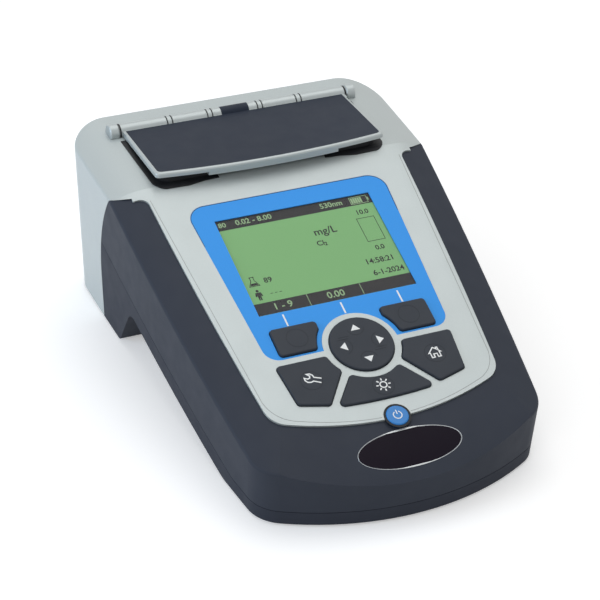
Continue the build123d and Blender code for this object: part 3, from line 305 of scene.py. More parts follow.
@dataclass(frozen=True)
class ClearPane:
    """Clear window or lens that lets most light straight through."""

    name: str
    tint: Colour
    roughness: float = 0.05
    alpha: float = 0.12
    specular: float = 0.5
    smear_mm: float = 22.0
    ior: float = 1.49

    def build(self) -> Material:
        """Build the material.

        Returns:
            The material.
        """
        sheet = NodeSheet(self.name)
        sheet.gloss(sheet.noise(self.smear_mm, 3.0), self.roughness - 0.02, self.roughness + 0.06)
        sheet.set(Base_Color=rgba(self.tint), Alpha=self.alpha)
        sheet.set(IOR=self.ior, Specular_IOR_Level=self.specular)
        return sheet.material


Finish = Plastic | FlakePaint | Film | Metal | ClearPane

FINISHES: dict[str, Finish] = {
    "silver": FlakePaint("silver_paint", (0.44, 0.485, 0.485), 0.42, 0.25),
    "lid_silver": FlakePaint("lid_silver_paint", (0.42, 0.46, 0.46), 0.38, 0.3),
    "charcoal": Plastic("charcoal_plastic", (0.030, 0.036, 0.051), 0.58, specular=0.18),
    "lower": Plastic("lower_plastic", (0.026, 0.031, 0.045), 0.62, specular=0.18),
    "key": Plastic("key_plastic", (0.033, 0.039, 0.050), 0.5, 0.25, 0.01, specular=0.18),
    "power": Plastic("power_key_plastic", (0.035, 0.22, 0.58), 0.35, 0.4, 0.006, specular=0.3),
    "overlay": Film("blue_overlay_film", (0.042, 0.325, 0.86)),
    "lid_dark": Plastic("lid_dark_plastic", (0.020, 0.027, 0.043), 0.45, 0.3, 0.01, specular=0.12),
    "black": Plastic("black_plastic", (0.012, 0.013, 0.015), 0.5, specular=0.25),
    "rubber": Plastic("black_rubber", (0.014, 0.014, 0.015), 0.75, 0.5, 0.03),
    "badge": Plastic("badge_plastic", (0.008, 0.005, 0.011), 0.35, 0.6, 0.004, specular=0.06),
    "white": Plastic("white_plastic", (0.68, 0.68, 0.66), 0.5),
    "board": Plastic("board_laminate", (0.02, 0.16, 0.07), 0.35, 0.9, 0.02, coat=0.3),
    "chip": Plastic("chip_plastic", (0.012, 0.012, 0.013), 0.4, 0.3, 0.01),
    "jacket": Plastic("cell_jacket", (0.03, 0.032, 0.036), 0.3, 1.0, 0.004, coat=0.4),
    "ink": Plastic("white_ink", (0.82, 0.84, 0.84), 0.5, 0.3, 0.003),
    "lcd_green": Film("display_green", (0.205, 0.46, 0.17), 0.4, 0.1),
    "lcd_ink": Film("display_dark", (0.010, 0.007, 0.009), 0.5, 0.05),
    "lcd_pale": Film("display_pale", (0.30, 0.46, 0.24), 0.4, 0.1),
    # painted shade: darker copy of the key plastic for the shade of the keys' ridges and finger
    # rests
    "key_shade": Plastic("key_shade", (0.020, 0.024, 0.031), 0.5, 0.25, 0.01, specular=0.18),
    # painted shade: dark silver line that stands for the shade in the groove inside the plate's
    # edge
    "plate_groove_shade": FlakePaint("plate_groove_shade_paint", (0.17, 0.18, 0.18), 0.45),
    # painted shadow: dark blue line where the overlay's inset edge casts a thin shadow
    "overlay_edge_shadow": Film("overlay_edge_shadow_film", (0.02, 0.07, 0.19)),
    "badge_rim": FlakePaint("badge_rim_paint", (0.55, 0.57, 0.58), 0.35),
    "steel": Metal("screw_steel", (0.55, 0.55, 0.54), 0.32),
    "dark_metal": Metal("black_anodised", (0.03, 0.03, 0.032), 0.5),
    "contact": Metal("nickel_plate", (0.62, 0.60, 0.55), 0.25),
    "mirror": Metal("grating_coat", (0.85, 0.86, 0.9), 0.1, (1.0, 60.0, 1.0)),
    "window": ClearPane("window_clear", (0.95, 0.98, 0.97), 0.08, 0.03, 0.05),
    "glass": ClearPane("lens_glass", (0.95, 0.97, 0.97), 0.03),
}


@dataclass
class Palette:
    """Materials of the finishes, each built once."""

    made: dict[str, Material] = field(default_factory=dict)

    def of(self, name: str) -> Material:
        """Give a finish's material, building it the first time.

        Args:
            name: Name of the finish.

        Returns:
            The material.
        """
        if name not in self.made:
            self.made[name] = FINISHES[name].build()
        return self.made[name]


def seen_directly(tree: bpy.types.NodeTree) -> Socket:
    """Tell rays of the camera, of reflections and of clear pieces from those that light the part.

    Args:
        tree: Node tree that gets the nodes.

    Returns:
        Output that is 1 for those rays and 0 for the others.
    """
    path = tree.nodes.new("ShaderNodeLightPath")
    seen = path.outputs["Is Camera Ray"]
    for kind in ("Is Glossy Ray", "Is Transmission Ray"):
        either = tree.nodes.new("ShaderNodeMath")
        either.operation = "MAXIMUM"
        tree.links.new(seen, either.inputs[0])
        tree.links.new(path.outputs[kind], either.inputs[1])
        seen = either.outputs["Value"]
    return seen


def dress(obj: Piece, material: Material) -> None:
    """Give an object one material."""
    obj.data.materials.clear()
    obj.data.materials.append(material)


@dataclass(frozen=True)
class Deck:
    """The sloping deck's own directions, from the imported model's driving sizes."""

    slope_degrees: float = 18.13
    top_y: float = 29.4
    top_z: float = 80.4

    def place(self, across: float, down: float, above: float) -> Matrix:
        """Give the place of a point on the deck.

        Args:
            across: Millimetres to the right of the middle.
            down: Millimetres down the slope from the display's top edge.
            above: Millimetres above the deck.

        Returns:
            Matrix whose X runs right, Y up the slope and Z away from the deck.
        """
        slope = radians(self.slope_degrees)
        rear = self.top_y - down * cos(slope) - above * sin(slope)
        height = self.top_z - down * sin(slope) + above * cos(slope)
        spot = Matrix.Translation(Vector((across, rear, height)) * MM)
        return spot @ Matrix.Rotation(slope, 4, "X")

    def rise(self, node: str, across: float, down: float) -> float:
        """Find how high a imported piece's surface stands above the deck.

        Args:
            node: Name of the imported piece.
            across: Millimetres to the right of the middle.
            down: Millimetres down the slope from the display's top edge.

        Returns:
            Height above the deck in millimetres.
        """
        start = self.place(across, down, RAY_START)
        away = start.to_3x3() @ Vector((0.0, 0.0, 1.0))
        hit, spot, _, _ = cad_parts[node].ray_cast(start.translation, -away)
        if not hit:
            raise ValueError(f"no surface of {node} at {across}, {down}")
        return RAY_START - (start.translation - spot).length / MM


DECK = Deck()


def select_only(obj: Piece) -> None:
    """Select one object and make it the active one.

    Args:
        obj: The object.
    """
    bpy.ops.object.select_all(action="DESELECT")
    obj.select_set(True)
    bpy.context.view_layer.objects.active = obj


def close_mesh(obj: Piece) -> None:
    """Merge an object's double points and turn its faces outwards.

    Args:
        obj: The object.
    """
    select_only(obj)
    bpy.ops.object.mode_set(mode="EDIT")
    bpy.ops.mesh.select_all(action="SELECT")
    bpy.ops.mesh.remove_doubles(threshold=MERGE_DISTANCE)
    bpy.ops.mesh.normals_make_consistent(inside=False)
    bpy.ops.object.mode_set(mode="OBJECT")


def settle(obj: Piece, place: Matrix) -> None:
    """Put an object in its place and apply the place to its mesh.

    Args:
        obj: The object.
        place: Its place.
    """
    select_only(obj)
    obj.matrix_world = place
    bpy.ops.object.transform_apply(location=True, rotation=True, scale=True)


def flat_area(name: str, outlines: list[Outline], thickness: float) -> Piece:
    """Make a thin flat piece from closed outlines, where an inner one is a hole.

    Args:
        name: Name of the piece.
        outlines: Outlines in millimetres.
        thickness: Thickness in millimetres, half on each side of the plane.

    Returns:
        The piece, lying flat at the origin.
    """
    curve = bpy.data.curves.new(name, "CURVE")
    curve.dimensions = "2D"
    curve.fill_mode = "BOTH"
    curve.extrude = thickness * MM / 2
    for outline in outlines:
        spline = curve.splines.new("POLY")
        spline.points.add(len(outline) - 1)
        for point, (along, up) in zip(spline.points, outline):
            point.co = (along * MM, up * MM, 0.0, 1.0)
        spline.use_cyclic_u = True
    obj = bpy.data.objects.new(name, curve)
    bpy.context.collection.objects.link(obj)
    select_only(obj)
    bpy.ops.object.convert(target="MESH")
    close_mesh(obj)
    return obj


def lettering(name: str, text: str, height: float, thickness: float) -> Piece:
    """Make plain figures or a unit.

    Args:
        name: Name of the piece.
        text: The figures.
        height: Height of a capital in millimetres.
        thickness: Thickness in millimetres.

    Returns:
        The piece, lying flat with its middle at the origin.
    """
    bpy.ops.object.select_all(action="DESELECT")
    bpy.ops.object.text_add()
    obj = bpy.context.active_object
    obj.name = name
    obj.data.body = text
    obj.data.size = height * MM / CAPITAL_SHARE
    obj.data.align_x = "CENTER"
    obj.data.align_y = "CENTER"
    obj.data.extrude = thickness * MM / 2
    obj.data.offset = LETTER_WEIGHT * MM
    obj.data.resolution_u = LETTER_STEPS
    bpy.ops.object.convert(target="MESH")
    close_mesh(obj)
    return obj


def joined(name: str, pieces: list[Piece]) -> Piece:
    """Join pieces to one piece with a new name.

    Args:
        name: The new name.
        pieces: The pieces.

    Returns:
        The one piece.
    """
    bpy.ops.object.select_all(action="DESELECT")
    for piece in pieces:
        piece.select_set(True)
    bpy.context.view_layer.objects.active = pieces[0]
    if len(pieces) > 1:
        bpy.ops.object.join()
    pieces[0].name = name
    return pieces[0]


def arc(centre: Point, radius: float, start: float, end: float, steps: int) -> Outline:
    """Give an arc's points from a first to a last angle in degrees, in a number of chords."""
    turns = [radians(start + (end - start) * step / steps) for step in range(steps + 1)]
    return [(centre[0] + radius * cos(turn), centre[1] + radius * sin(turn)) for turn in turns]


def side_normal(first: Point, second: Point) -> Point:
    """Give the unit direction to the left of a step."""
    length = hypot(second[0] - first[0], second[1] - first[1])
    return ((first[1] - second[1]) / length, (second[0] - first[0]) / length)


def ribbon(points: Outline, width: float, closed: bool = False) -> list[Outline]:
    """Give the outlines of a line with a width.

    Args:
        points: Points of the line.
        width: Its width.
        closed: Whether the line ends where it starts.

    Returns:
        One outline for an open line, and an outer and an inner one for a closed line.
    """
    count = len(points)
    sides: tuple[Outline, Outline] = ([], [])
    for place, (across, up) in enumerate(points):
        before = points[place - 1] if closed or place > 0 else None
        after = points[(place + 1) % count] if closed or place < count - 1 else None
        normals = []
        if before is not None:
            normals.append(side_normal(before, (across, up)))
        if after is not None:
            normals.append(side_normal((across, up), after))
        middle = (sum(part[0] for part in normals), sum(part[1] for part in normals))
        size = hypot(*middle)
        lean = (middle[0] / size, middle[1] / size)
        reach = width / 2 / max(0.4, lean[0] * normals[0][0] + lean[1] * normals[0][1])
        sides[0].append((across + lean[0] * reach, up + lean[1] * reach))
        sides[1].append((across - lean[0] * reach, up - lean[1] * reach))
    if closed:
        return [sides[0], sides[1]]
    return [sides[0] + sides[1][::-1]]


def drape(obj: Piece, place: Matrix, node: str, lift: float, thickness: float) -> None:
    """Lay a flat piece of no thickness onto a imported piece's surface.

    Args:
        obj: The flat piece at the origin.
        place: Its place above the surface.
        node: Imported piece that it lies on.
        lift: Distance from the surface in millimetres.
        thickness: Its thickness in millimetres.
    """
    select_only(obj)
    obj.matrix_world = place
    wrap = obj.modifiers.new("drape", "SHRINKWRAP")
    wrap.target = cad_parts[node]
    wrap.wrap_method = "PROJECT"
    wrap.use_project_z = True
    wrap.use_positive_direction = False
    wrap.use_negative_direction = True
    wrap.offset = lift * MM
    bpy.ops.object.modifier_apply(modifier="drape")
    wall = obj.modifiers.new("wall", "SOLIDIFY")
    wall.thickness = thickness * MM
    wall.offset = 0.0
    bpy.ops.object.modifier_apply(modifier="wall")
    bpy.ops.object.transform_apply(location=True, rotation=True, scale=True)
    close_mesh(obj)


def break_edges(width: float, segments: int) -> None:
    """Bevel all edges of the new primitive that is active, with its place applied.

    Args:
        width: Width of the bevel in millimetres.
        segments: Number of its segments.
    """
    bpy.ops.object.transform_apply(location=True, rotation=True, scale=True)
    bpy.ops.object.mode_set(mode="EDIT")
    bpy.ops.mesh.select_all(action="SELECT")
    bpy.ops.mesh.bevel(offset=width * MM, segments=segments, affect="EDGES")
    bpy.ops.object.mode_set(mode="OBJECT")


def slab(name: str, size: Spot, edge: float) -> Piece:
    """Make a flat slab with broken edges at the origin.

    Args:
        name: Name of the slab.
        size: Width, depth and height in millimetres.
        edge: Width of the broken edge in millimetres.

    Returns:
        The slab.
    """
    bpy.ops.object.select_all(action="DESELECT")
    bpy.ops.mesh.primitive_cube_add(size=1.0, scale=[part * MM for part in size])
    obj = bpy.context.active_object
    obj.name = name
    break_edges(edge, 2)
    return obj


@dataclass
class Workshop:
    """Places finished pieces, dresses them and lets them ride their bodies."""

    palette: Palette

    def fit(self, obj: Piece, place: Matrix, finish: str, body: Body = Body.HOUSING) -> None:
        """Finish one piece.

        Args:
            obj: The piece.
            place: Its place, which is applied to its mesh.
            finish: Name of its finish in the palette.
            body: The body that carries it, usually the housing.
        """
        settle(obj, place)
        dress(obj, self.palette.of(finish))
        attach(obj, body.value)
        LOG.info("piece %s rides %s", obj.name, body.value)


def box_outline(left: float, top: float, right: float, bottom: float) -> Outline:
    """Give a rectangle's corners, with its edges measured down from the display's top."""
    return [(left, -top), (right, -top), (right, -bottom), (left, -bottom)]


def between(first: Point, last: Point, share: float) -> Point:
    """Give the point at a share of the way from one point to another."""
    return (first[0] + (last[0] - first[0]) * share, first[1] + (last[1] - first[1]) * share)


def mirrored(points: Outline) -> Outline:
    """Give the same points on the other side of the middle."""
    return [(-across, up) for across, up in points]


@dataclass(frozen=True)
class Figures:
    """Plain figures of the display's picture, by their middle and the height of a capital."""

    text: str
    across: float
    down: float
    height: float


@dataclass
class Display:
    """Display module: thin window, glass with the green ground, and the picture on it."""

    shop: Workshop
    width: float = 85.7
    height: float = 63.2
    margin: float = 1.5
    window_top: float = -0.62
    window_thickness: float = 0.33
    window_edge: float = 0.05
    glass_top: float = -1.0
    glass_bottom: float = -2.58
    glass_margin: float = 0.4
    glass_edge: float = 0.08
    picture_thickness: float = 0.02
    ground_height: float = 0.012
    pale_height: float = 0.03
    bar_margin: float = 0.3
    top_bar: Span = (-1.2, 6.3)
    low_bar: Span = (55.0, 62.5)
    divider: float = 14.4
    divider_inset: float = 0.2
    line: float = 0.32
    flask_line: float = 0.4
    battery_case: Box = (31.3, 0.9, 40.8, 5.5)
    battery_nub: Shape = ((41.4, -2.2), (41.4, -4.2))
    nub_width: float = 0.6
    battery_cell: Box = (31.8, 1.4, 32.85, 5.0)
    battery_cells: int = 5
    cell_pitch: float = 1.25
    pale_figures: tuple[Figures, ...] = (
        Figures("530nm", 20.6, 2.9, 3.3),
        Figures("0.02 - 8.00", -22.5, 2.9, 3.3),
        Figures("80", -39.6, 2.9, 3.0),
        Figures("0.00", 0.3, 58.75, 4.0),
        Figures("1 - 9", -28.2, 58.75, 4.0),
    )
    dark_figures: tuple[Figures, ...] = (
        Figures("mg/L", 10.8, 18.6, 4.6),
        Figures("Cl", 5.4, 25.9, 3.2),
        Figures("2", 8.1, 26.9, 2.2),
        Figures("10.0", 34.7, 11.3, 3.0),
        Figures("0.0", 34.5, 35.6, 3.0),
        Figures("14:58:21", 31.0, 43.4, 3.4),
        Figures("6-1-2024", 32.8, 51.0, 3.4),
        Figures("89", -29.7, 41.8, 3.2),
    )
    graph: Box = (29.9, 15.2, 39.6, 30.8)
    dashes: int = 3
    dash_start: Point = (-31.6, -50.2)
    dash_pitch: float = 2.4
    dash_length: float = 1.4
    flask: Shape = (
        (-38.4, -38.3), (-38.4, -40.6), (-40.2, -44.0), (-34.8, -44.0), (-36.6, -40.6),
        (-36.6, -38.3),
    )
    flask_lip: Shape = ((-38.9, -38.3), (-36.1, -38.3))
    flask_filling: Shape = ((-38.9, -42.2), (-36.1, -42.2), (-35.5, -43.6), (-39.5, -43.6))
    head: Point = (-37.6, -47.2)
    head_radius: float = 0.8
    person: Shape = (
        (-39.0, -48.2), (-36.2, -48.2), (-35.6, -50.6), (-36.4, -50.8), (-36.6, -49.8),
        (-36.8, -53.2), (-37.4, -53.2), (-37.6, -51.2), (-37.8, -53.2), (-38.4, -53.2),
        (-38.6, -49.8), (-38.8, -50.8), (-39.6, -50.6),
    )

    def build(self) -> None:
        """Build the module."""
        self.add_window()
        self.add_glass()
        self.add_dark_ground()
        self.add_pale_marks()
        self.add_dark_marks()

    def at(self, down: float, above: float) -> Matrix:
        """Give a place on the picture's middle line."""
        return DECK.place(0.0, down, self.glass_top + above)

    def add_window(self) -> None:
        """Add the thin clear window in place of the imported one."""
        size = (self.width + 2 * self.margin, self.height + 2 * self.margin, self.window_thickness)
        window = slab("thin_window", size, self.window_edge)
        place = DECK.place(0.0, self.height / 2, self.window_top - self.window_thickness / 2)
        self.shop.fit(window, place, "window")
        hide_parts("display_window")

    def add_glass(self) -> None:
        """Add the green display glass on its panel."""
        depth = self.glass_top - self.glass_bottom
        size = (self.width + 2 * self.glass_margin, self.height + 2 * self.glass_margin, depth)
        glass = slab("display_glass", size, self.glass_edge)
        self.shop.fit(glass, self.at(self.height / 2, -depth / 2), "lcd_green")

    def add_dark_ground(self) -> None:
        """Add the two dark bars of the picture."""
        half = self.width / 2 + self.bar_margin
        bars = [box_outline(-half, bar[0], half, bar[1]) for bar in (self.top_bar, self.low_bar)]
        ground = flat_area("display_bars", bars, self.picture_thickness)
        self.shop.fit(ground, self.at(0.0, self.ground_height), "lcd_ink")

    def set_figures(self, rows: tuple[Figures, ...]) -> list[Piece]:
        """Set rows of figures on the picture.

        Args:
            rows: The figures with their places.

        Returns:
            The figures, lying flat at the origin's height.
        """
        pieces = []
        for row in rows:
            figures = lettering("figures", row.text, row.height, self.picture_thickness)
            settle(figures, Matrix.Translation(Vector((row.across, -row.down, 0.0)) * MM))
            pieces.append(figures)
        return pieces

    def area(self, outlines: list[Outline]) -> Piece:
        """Make one flat mark of the picture."""
        return flat_area("mark", outlines, self.picture_thickness)

    def battery_marks(self) -> list[Piece]:
        """Make the battery sign's case, nub and cells.

        Returns:
            The marks.
        """
        case = ribbon(box_outline(*self.battery_case), self.line, closed=True)
        marks = [self.area(case), self.area(ribbon(list(self.battery_nub), self.nub_width))]
        left, top, right, bottom = self.battery_cell
        for cell in range(self.battery_cells):
            step = self.cell_pitch * cell
            marks.append(self.area([box_outline(left + step, top, right + step, bottom)]))
        return marks

    def add_pale_marks(self) -> None:
        """Add the pale figures, the battery sign and the dividers on the dark bars."""
        marks = self.set_figures(self.pale_figures) + self.battery_marks()
        low, high = -self.low_bar[1] + self.divider_inset, -self.low_bar[0] - self.divider_inset
        for side in (-1, 1):
            ends = [(side * self.divider, low), (side * self.divider, high)]
            marks.append(self.area(ribbon(ends, self.line)))
        pale = joined("display_pale_marks", marks)
        self.shop.fit(pale, self.at(0.0, self.pale_height), "lcd_pale")

    def add_dark_marks(self) -> None:
        """Add the dark figures, the bar graph's frame, the flask and the person."""
        marks = self.set_figures(self.dark_figures)
        marks.append(self.area(ribbon(box_outline(*self.graph), self.line, closed=True)))
        for dash in range(self.dashes):
            left = self.dash_start[0] + self.dash_pitch * dash
            ends = [(left, self.dash_start[1]), (left + self.dash_length, self.dash_start[1])]
            marks.append(self.area(ribbon(ends, self.line)))
        marks.append(self.area(ribbon(list(self.flask), self.flask_line)))
        marks.append(self.area(ribbon(list(self.flask_lip), self.flask_line)))
        marks.append(self.area([list(self.flask_filling)]))
        marks.append(self.area([arc(self.head, self.head_radius, 0, 330, 11)]))
        marks.append(self.area([list(self.person)]))
        dark = joined("display_dark_marks", marks)
        self.shop.fit(dark, self.at(0.0, self.ground_height), "lcd_ink")


@dataclass
class Keypad:
    """Prints on the keys and on the overlay, and painted shade of the keys' small forms."""

    shop: Workshop
    ink: float = 0.05
    sink: float = 0.01
    line: float = 0.68
    house_line: float = 0.612
    pad_down: float = 92.1
    arrow_radius: float = 9.8
    arrow: Shape = ((-2.5, -1.5), (2.5, -1.5), (0.0, 1.9))
    leader_down: Span = (64.8, 72.2)
    leader_short: float = 0.4
    leader_width: float = 0.85
    leader_across: float = 31.0
    bow_radius: float = 4.4
    bow_width: float = 0.3
    grooves: Shape = ((-8.5, 4.2), (-7.6, 5.6), (8.5, -4.2), (7.6, -5.6))
    groove_half: float = 3.0
    groove_width: float = 0.35
    spanner_place: Point = (-32.3, 106.4)
    spanner: Shape = (
        (4.6, -0.5), (1.2, 1.0), (0.9, 2.4), (-0.2, 3.4), (-1.8, 3.5),
        (-0.6, 2.2), (-0.9, 1.1), (-2.1, 0.7), (-3.6, 1.6), (-3.7, 0.2),
        (-2.8, -1.1), (-1.3, -1.5), (0.3, -1.1), (3.6, -2.9),
    )
    house_place: Point = (32.9, 106.6)
    house: Shape = (
        (-2.4, -2.9), (-2.4, -0.1), (-3.2, -0.1), (0.0, 3.0), (1.5, 1.6),
        (1.5, 2.7), (2.3, 2.7), (2.3, 0.8), (3.2, -0.1), (2.4, -0.1),
        (2.4, -2.9), (0.9, -2.9), (0.9, -0.9), (-0.9, -0.9), (-0.9, -2.9),
    )
    lamp_place: Point = (0.2, 118.2)
    bulb_radius: float = 1.7
    rays: int = 8
    ray_reach: Span = (2.5, 3.8)
    rest_radius: float = 5.4
    rest_width: float = 0.28
    rests: tuple[tuple[str, float, float, Body], ...] = (
        ("settings_key", -33.0, 107.0, Body.SETTINGS),
        ("home_key", 33.0, 107.0, Body.HOME),
        ("soft_key_left", -30.1, 81.1, Body.SOFT_LEFT),
        ("soft_key_right", 30.1, 81.1, Body.SOFT_RIGHT),
        ("backlight_key", 0.0, 118.6, Body.BACKLIGHT),
    )
    power_down: float = 136.2
    power_line: float = 0.5
    sweep_radius: float = 2.1
    stroke: Shape = ((0.0, 0.5), (0.0, 2.9))
    ring_radius: float = 6.25
    ring_width: float = 1.0
    ring_thickness: float = 0.6
    ring_height: float = -0.05

    def build(self) -> None:
        """Build all prints."""
        self.add_leaders()
        self.add_arrows()
        self.add_pad_ridge_shade()
        self.add_key_signs()
        self.add_rest_shade()
        self.add_power_parts()

    def on(self, node: str, across: float, down: float) -> Matrix:
        """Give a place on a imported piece's surface."""
        rise = DECK.rise(node, across, down)
        return DECK.place(across, down, rise + self.ink / 2 - self.sink)

    def printed(self, name: str, outlines: list[Outline]) -> Piece:
        """Make a flat print as thick as the ink."""
        return flat_area(name, outlines, self.ink)

    def add_leaders(self) -> None:
        """Add the white lines that lead from the display to the keys."""
        top, low = self.leader_down
        lines = []
        for across in (-self.leader_across, 0.0, self.leader_across):
            bottom = low if across else low - self.leader_short
            ends = [(across, -top), (across, -bottom)]
            lines.append(self.printed("leader", ribbon(ends, self.leader_width)))
        rise = DECK.rise("display_overlay", 0.0, top)
        place = DECK.place(0.0, 0.0, rise + self.ink / 2 - self.sink)
        self.shop.fit(joined("leader_lines", lines), place, "ink")

    def add_arrows(self) -> None:
        """Add the four arrows of the pad."""
        arrows = []
        for quarter in range(4):
            arrow = self.printed("arrow", [list(self.arrow)])
            away = Matrix.Translation(Vector((0.0, self.arrow_radius * MM, 0.0)))
            settle(arrow, Matrix.Rotation(radians(90 * quarter), 4, "Z") @ away)
            arrows.append(arrow)
        place = self.on("nav_pad", 0.0, self.pad_down)
        self.shop.fit(joined("pad_arrows", arrows), place, "ink", Body.NAV)

    def add_pad_ridge_shade(self) -> None:
        """Add the painted shade of the fine ridges of the finger rests around the arrows."""
        ridges = []
        for quarter in range(4):
            bow = arc((0.0, self.arrow_radius), self.bow_radius, 190, 350, 16)
            ridge = self.printed("bow", ribbon(bow, self.bow_width))
            settle(ridge, Matrix.Rotation(radians(90 * quarter), 4, "Z"))
            ridges.append(ridge)
        for across, up in self.grooves:
            ends = [(across - self.groove_half, up), (across + self.groove_half, up)]
            ridges.append(self.printed("groove", ribbon(ends, self.groove_width)))
        place = self.on("nav_pad", 0.0, self.pad_down)
        # painted shade: darker key colour for the shade of the pad's ridges and grooves
        self.shop.fit(joined("pad_ridge_shade", ridges), place, "key_shade", Body.NAV)

    def add_key_signs(self) -> None:
        """Add the spanner, the house and the lamp on the three lower keys."""
        sign = self.printed("spanner_sign", ribbon(list(self.spanner), self.line))
        self.shop.fit(sign, self.on("settings_key", *self.spanner_place), "ink", Body.SETTINGS)
        sign = self.printed("house_sign", ribbon(list(self.house), self.house_line, closed=True))
        self.shop.fit(sign, self.on("home_key", *self.house_place), "ink", Body.HOME)
        bulb = arc((0.0, 0.0), self.bulb_radius, 0, 345, 23)
        marks = [self.printed("bulb", ribbon(bulb, self.line, closed=True))]
        for ray in range(self.rays):
            turn = radians(360 / self.rays * ray)
            ends = [(reach * cos(turn), reach * sin(turn)) for reach in self.ray_reach]
            marks.append(self.printed("ray", ribbon(ends, self.line)))
        place = self.on("backlight_key", *self.lamp_place)
        self.shop.fit(joined("lamp_sign", marks), place, "ink", Body.BACKLIGHT)

    def add_rest_shade(self) -> None:
        """Add the painted shade at the faint round edges of the keys' finger rests."""
        edge = arc((0.0, 0.0), self.rest_radius, 0, 350, 35)
        for node, across, down, body in self.rests:
            ring = self.printed(f"{node}_rest", ribbon(edge, self.rest_width, closed=True))
            # painted shade: darker key colour ring at the finger rest's edge
            self.shop.fit(ring, self.on(node, across, down), "key_shade", body)

    def add_power_parts(self) -> None:
        """Add the power key's sign and the dark ring around it."""
        sweep = arc((0.0, 0.0), self.sweep_radius, 118, 422, 24)
        sign = [self.printed("sweep", ribbon(sweep, self.power_line))]
        sign.append(self.printed("stroke", ribbon(list(self.stroke), self.power_line)))
        place = self.on("power_key", 0.0, self.power_down)
        self.shop.fit(joined("power_sign", sign), place, "ink", Body.POWER)
        edge = arc((0.0, 0.0), self.ring_radius, 0, 352.5, 47)
        outlines = ribbon(edge, self.ring_width, closed=True)
        ring = flat_area("power_ring", outlines, self.ring_thickness)
        place = DECK.place(0.0, self.power_down, self.ring_height)
        self.shop.fit(ring, place, "black")


@dataclass
class PlateTrim:
    """Badge rim, painted shade of the fine groove inside the plate's edge, and painted shadow
    along the overlay's edge.
    """

    shop: Workshop
    badge_down: float = 153.0
    badge_half: Span = (26.6, 9.7)
    badge_steps: int = 90
    badge_rim_width: float = 0.95
    badge_rim_lift: float = 0.06
    badge_rim_thickness: float = 0.16
    line_inset: float = 1.3
    line_width: float = 0.22
    line_lift: float = 0.02
    line_thickness: float = 0.05
    line_steps: tuple[int, int, int] = (30, 8, 20)
    side_top: Point = (-71.1, 21.0)
    side_low: Point = (-61.6, -112.0)
    corner: Point = (-59.4, -124.0)
    foot: Point = (-46.0, -128.6)
    foot_middle: float = -136.8
    foot_bow: float = 8.2
    foot_end: float = 7.6
    overlay_half: float = 55.2
    overlay_top: float = 11.2
    overlay_radius: float = 9.5
    overlay_lean: float = 0.65
    overlay_end: Point = (53.6, -15.0)
    edge_inset: float = 0.25
    edge_width: float = 0.35
    edge_thickness: float = 0.04
    edge_lift: float = 0.01
    edge_down: float = -5.0

    def build(self) -> None:
        """Build all lines."""
        self.add_badge_rim()
        self.add_plate_groove_shade()
        self.add_overlay_edge_shadow()

    def add_badge_rim(self) -> None:
        """Add the silver line around the bare badge."""
        half, rise = self.badge_half
        turns = [radians(360 / self.badge_steps * step) for step in range(self.badge_steps)]
        ring = [(half * cos(turn), rise * sin(turn)) for turn in turns]
        rim = flat_area("badge_rim", ribbon(ring, self.badge_rim_width, closed=True), 0.0)
        place = DECK.place(0.0, self.badge_down, ABOVE_DECK)
        drape(rim, place, "front_shell", self.badge_rim_lift, self.badge_rim_thickness)
        self.shop.fit(rim, HERE, "badge_rim")

    def plate_path(self) -> Outline:
        """Give the points of the painted groove shade on the left, from the top to the middle of
        the foot.

        Returns:
            The points.
        """
        inset = self.line_inset
        top = (self.side_top[0] + inset, self.side_top[1])
        low = (self.side_low[0] + inset, self.side_low[1])
        corner = (self.corner[0] + inset, self.corner[1])
        foot = (self.foot[0], self.foot[1] + inset)
        side_steps, corner_steps, foot_steps = self.line_steps
        path = [between(top, low, step / side_steps) for step in range(side_steps + 1)]
        for step in range(1, corner_steps + 1):
            share = step / corner_steps
            path.append(between(between(low, corner, share), between(corner, foot, share), share))
        for step in range(1, foot_steps + 1):
            across = foot[0] - (foot[0] + self.foot_end) * step / foot_steps
            bow = self.foot_bow * (across / foot[0]) ** 2
            path.append((across, self.foot_middle + inset + bow))
        return path

    def add_plate_groove_shade(self) -> None:
        """Add the painted shade of the fine groove just inside the plate's edge."""
        path = self.plate_path()
        for name, points in (("plate_groove_shade_left", path), ("plate_groove_shade_right", mirrored(path))):
            line = flat_area(name, ribbon(points, self.line_width), 0.0)
            place = DECK.place(0.0, 0.0, ABOVE_DECK)
            drape(line, place, "upper_housing", self.line_lift, self.line_thickness)
            # painted shade of the plate's groove, laid on the silver as a dark line
            self.shop.fit(line, HERE, "plate_groove_shade")

    def add_overlay_edge_shadow(self) -> None:
        """Add the painted shadow along the top and the upper sides of the overlay."""
        across = self.overlay_half - self.overlay_radius - self.overlay_lean
        centre = (across, self.overlay_top - self.overlay_radius)
        radius = self.overlay_radius - self.edge_inset
        end = (self.overlay_end[0] - self.edge_inset, self.overlay_end[1])
        path = [(-end[0], end[1])]
        path += arc((-centre[0], centre[1]), radius, 176, 90, 10)
        path += arc(centre, radius, 90, 4, 10)
        path += [end]
        edge = flat_area("overlay_edge_shadow", ribbon(path, self.edge_width), self.edge_thickness)
        rise = DECK.rise("display_overlay", 0.0, self.edge_down)
        place = DECK.place(0.0, 0.0, rise + self.edge_lift)
        # painted shadow line along the overlay's edge
        self.shop.fit(edge, place, "overlay_edge_shadow")


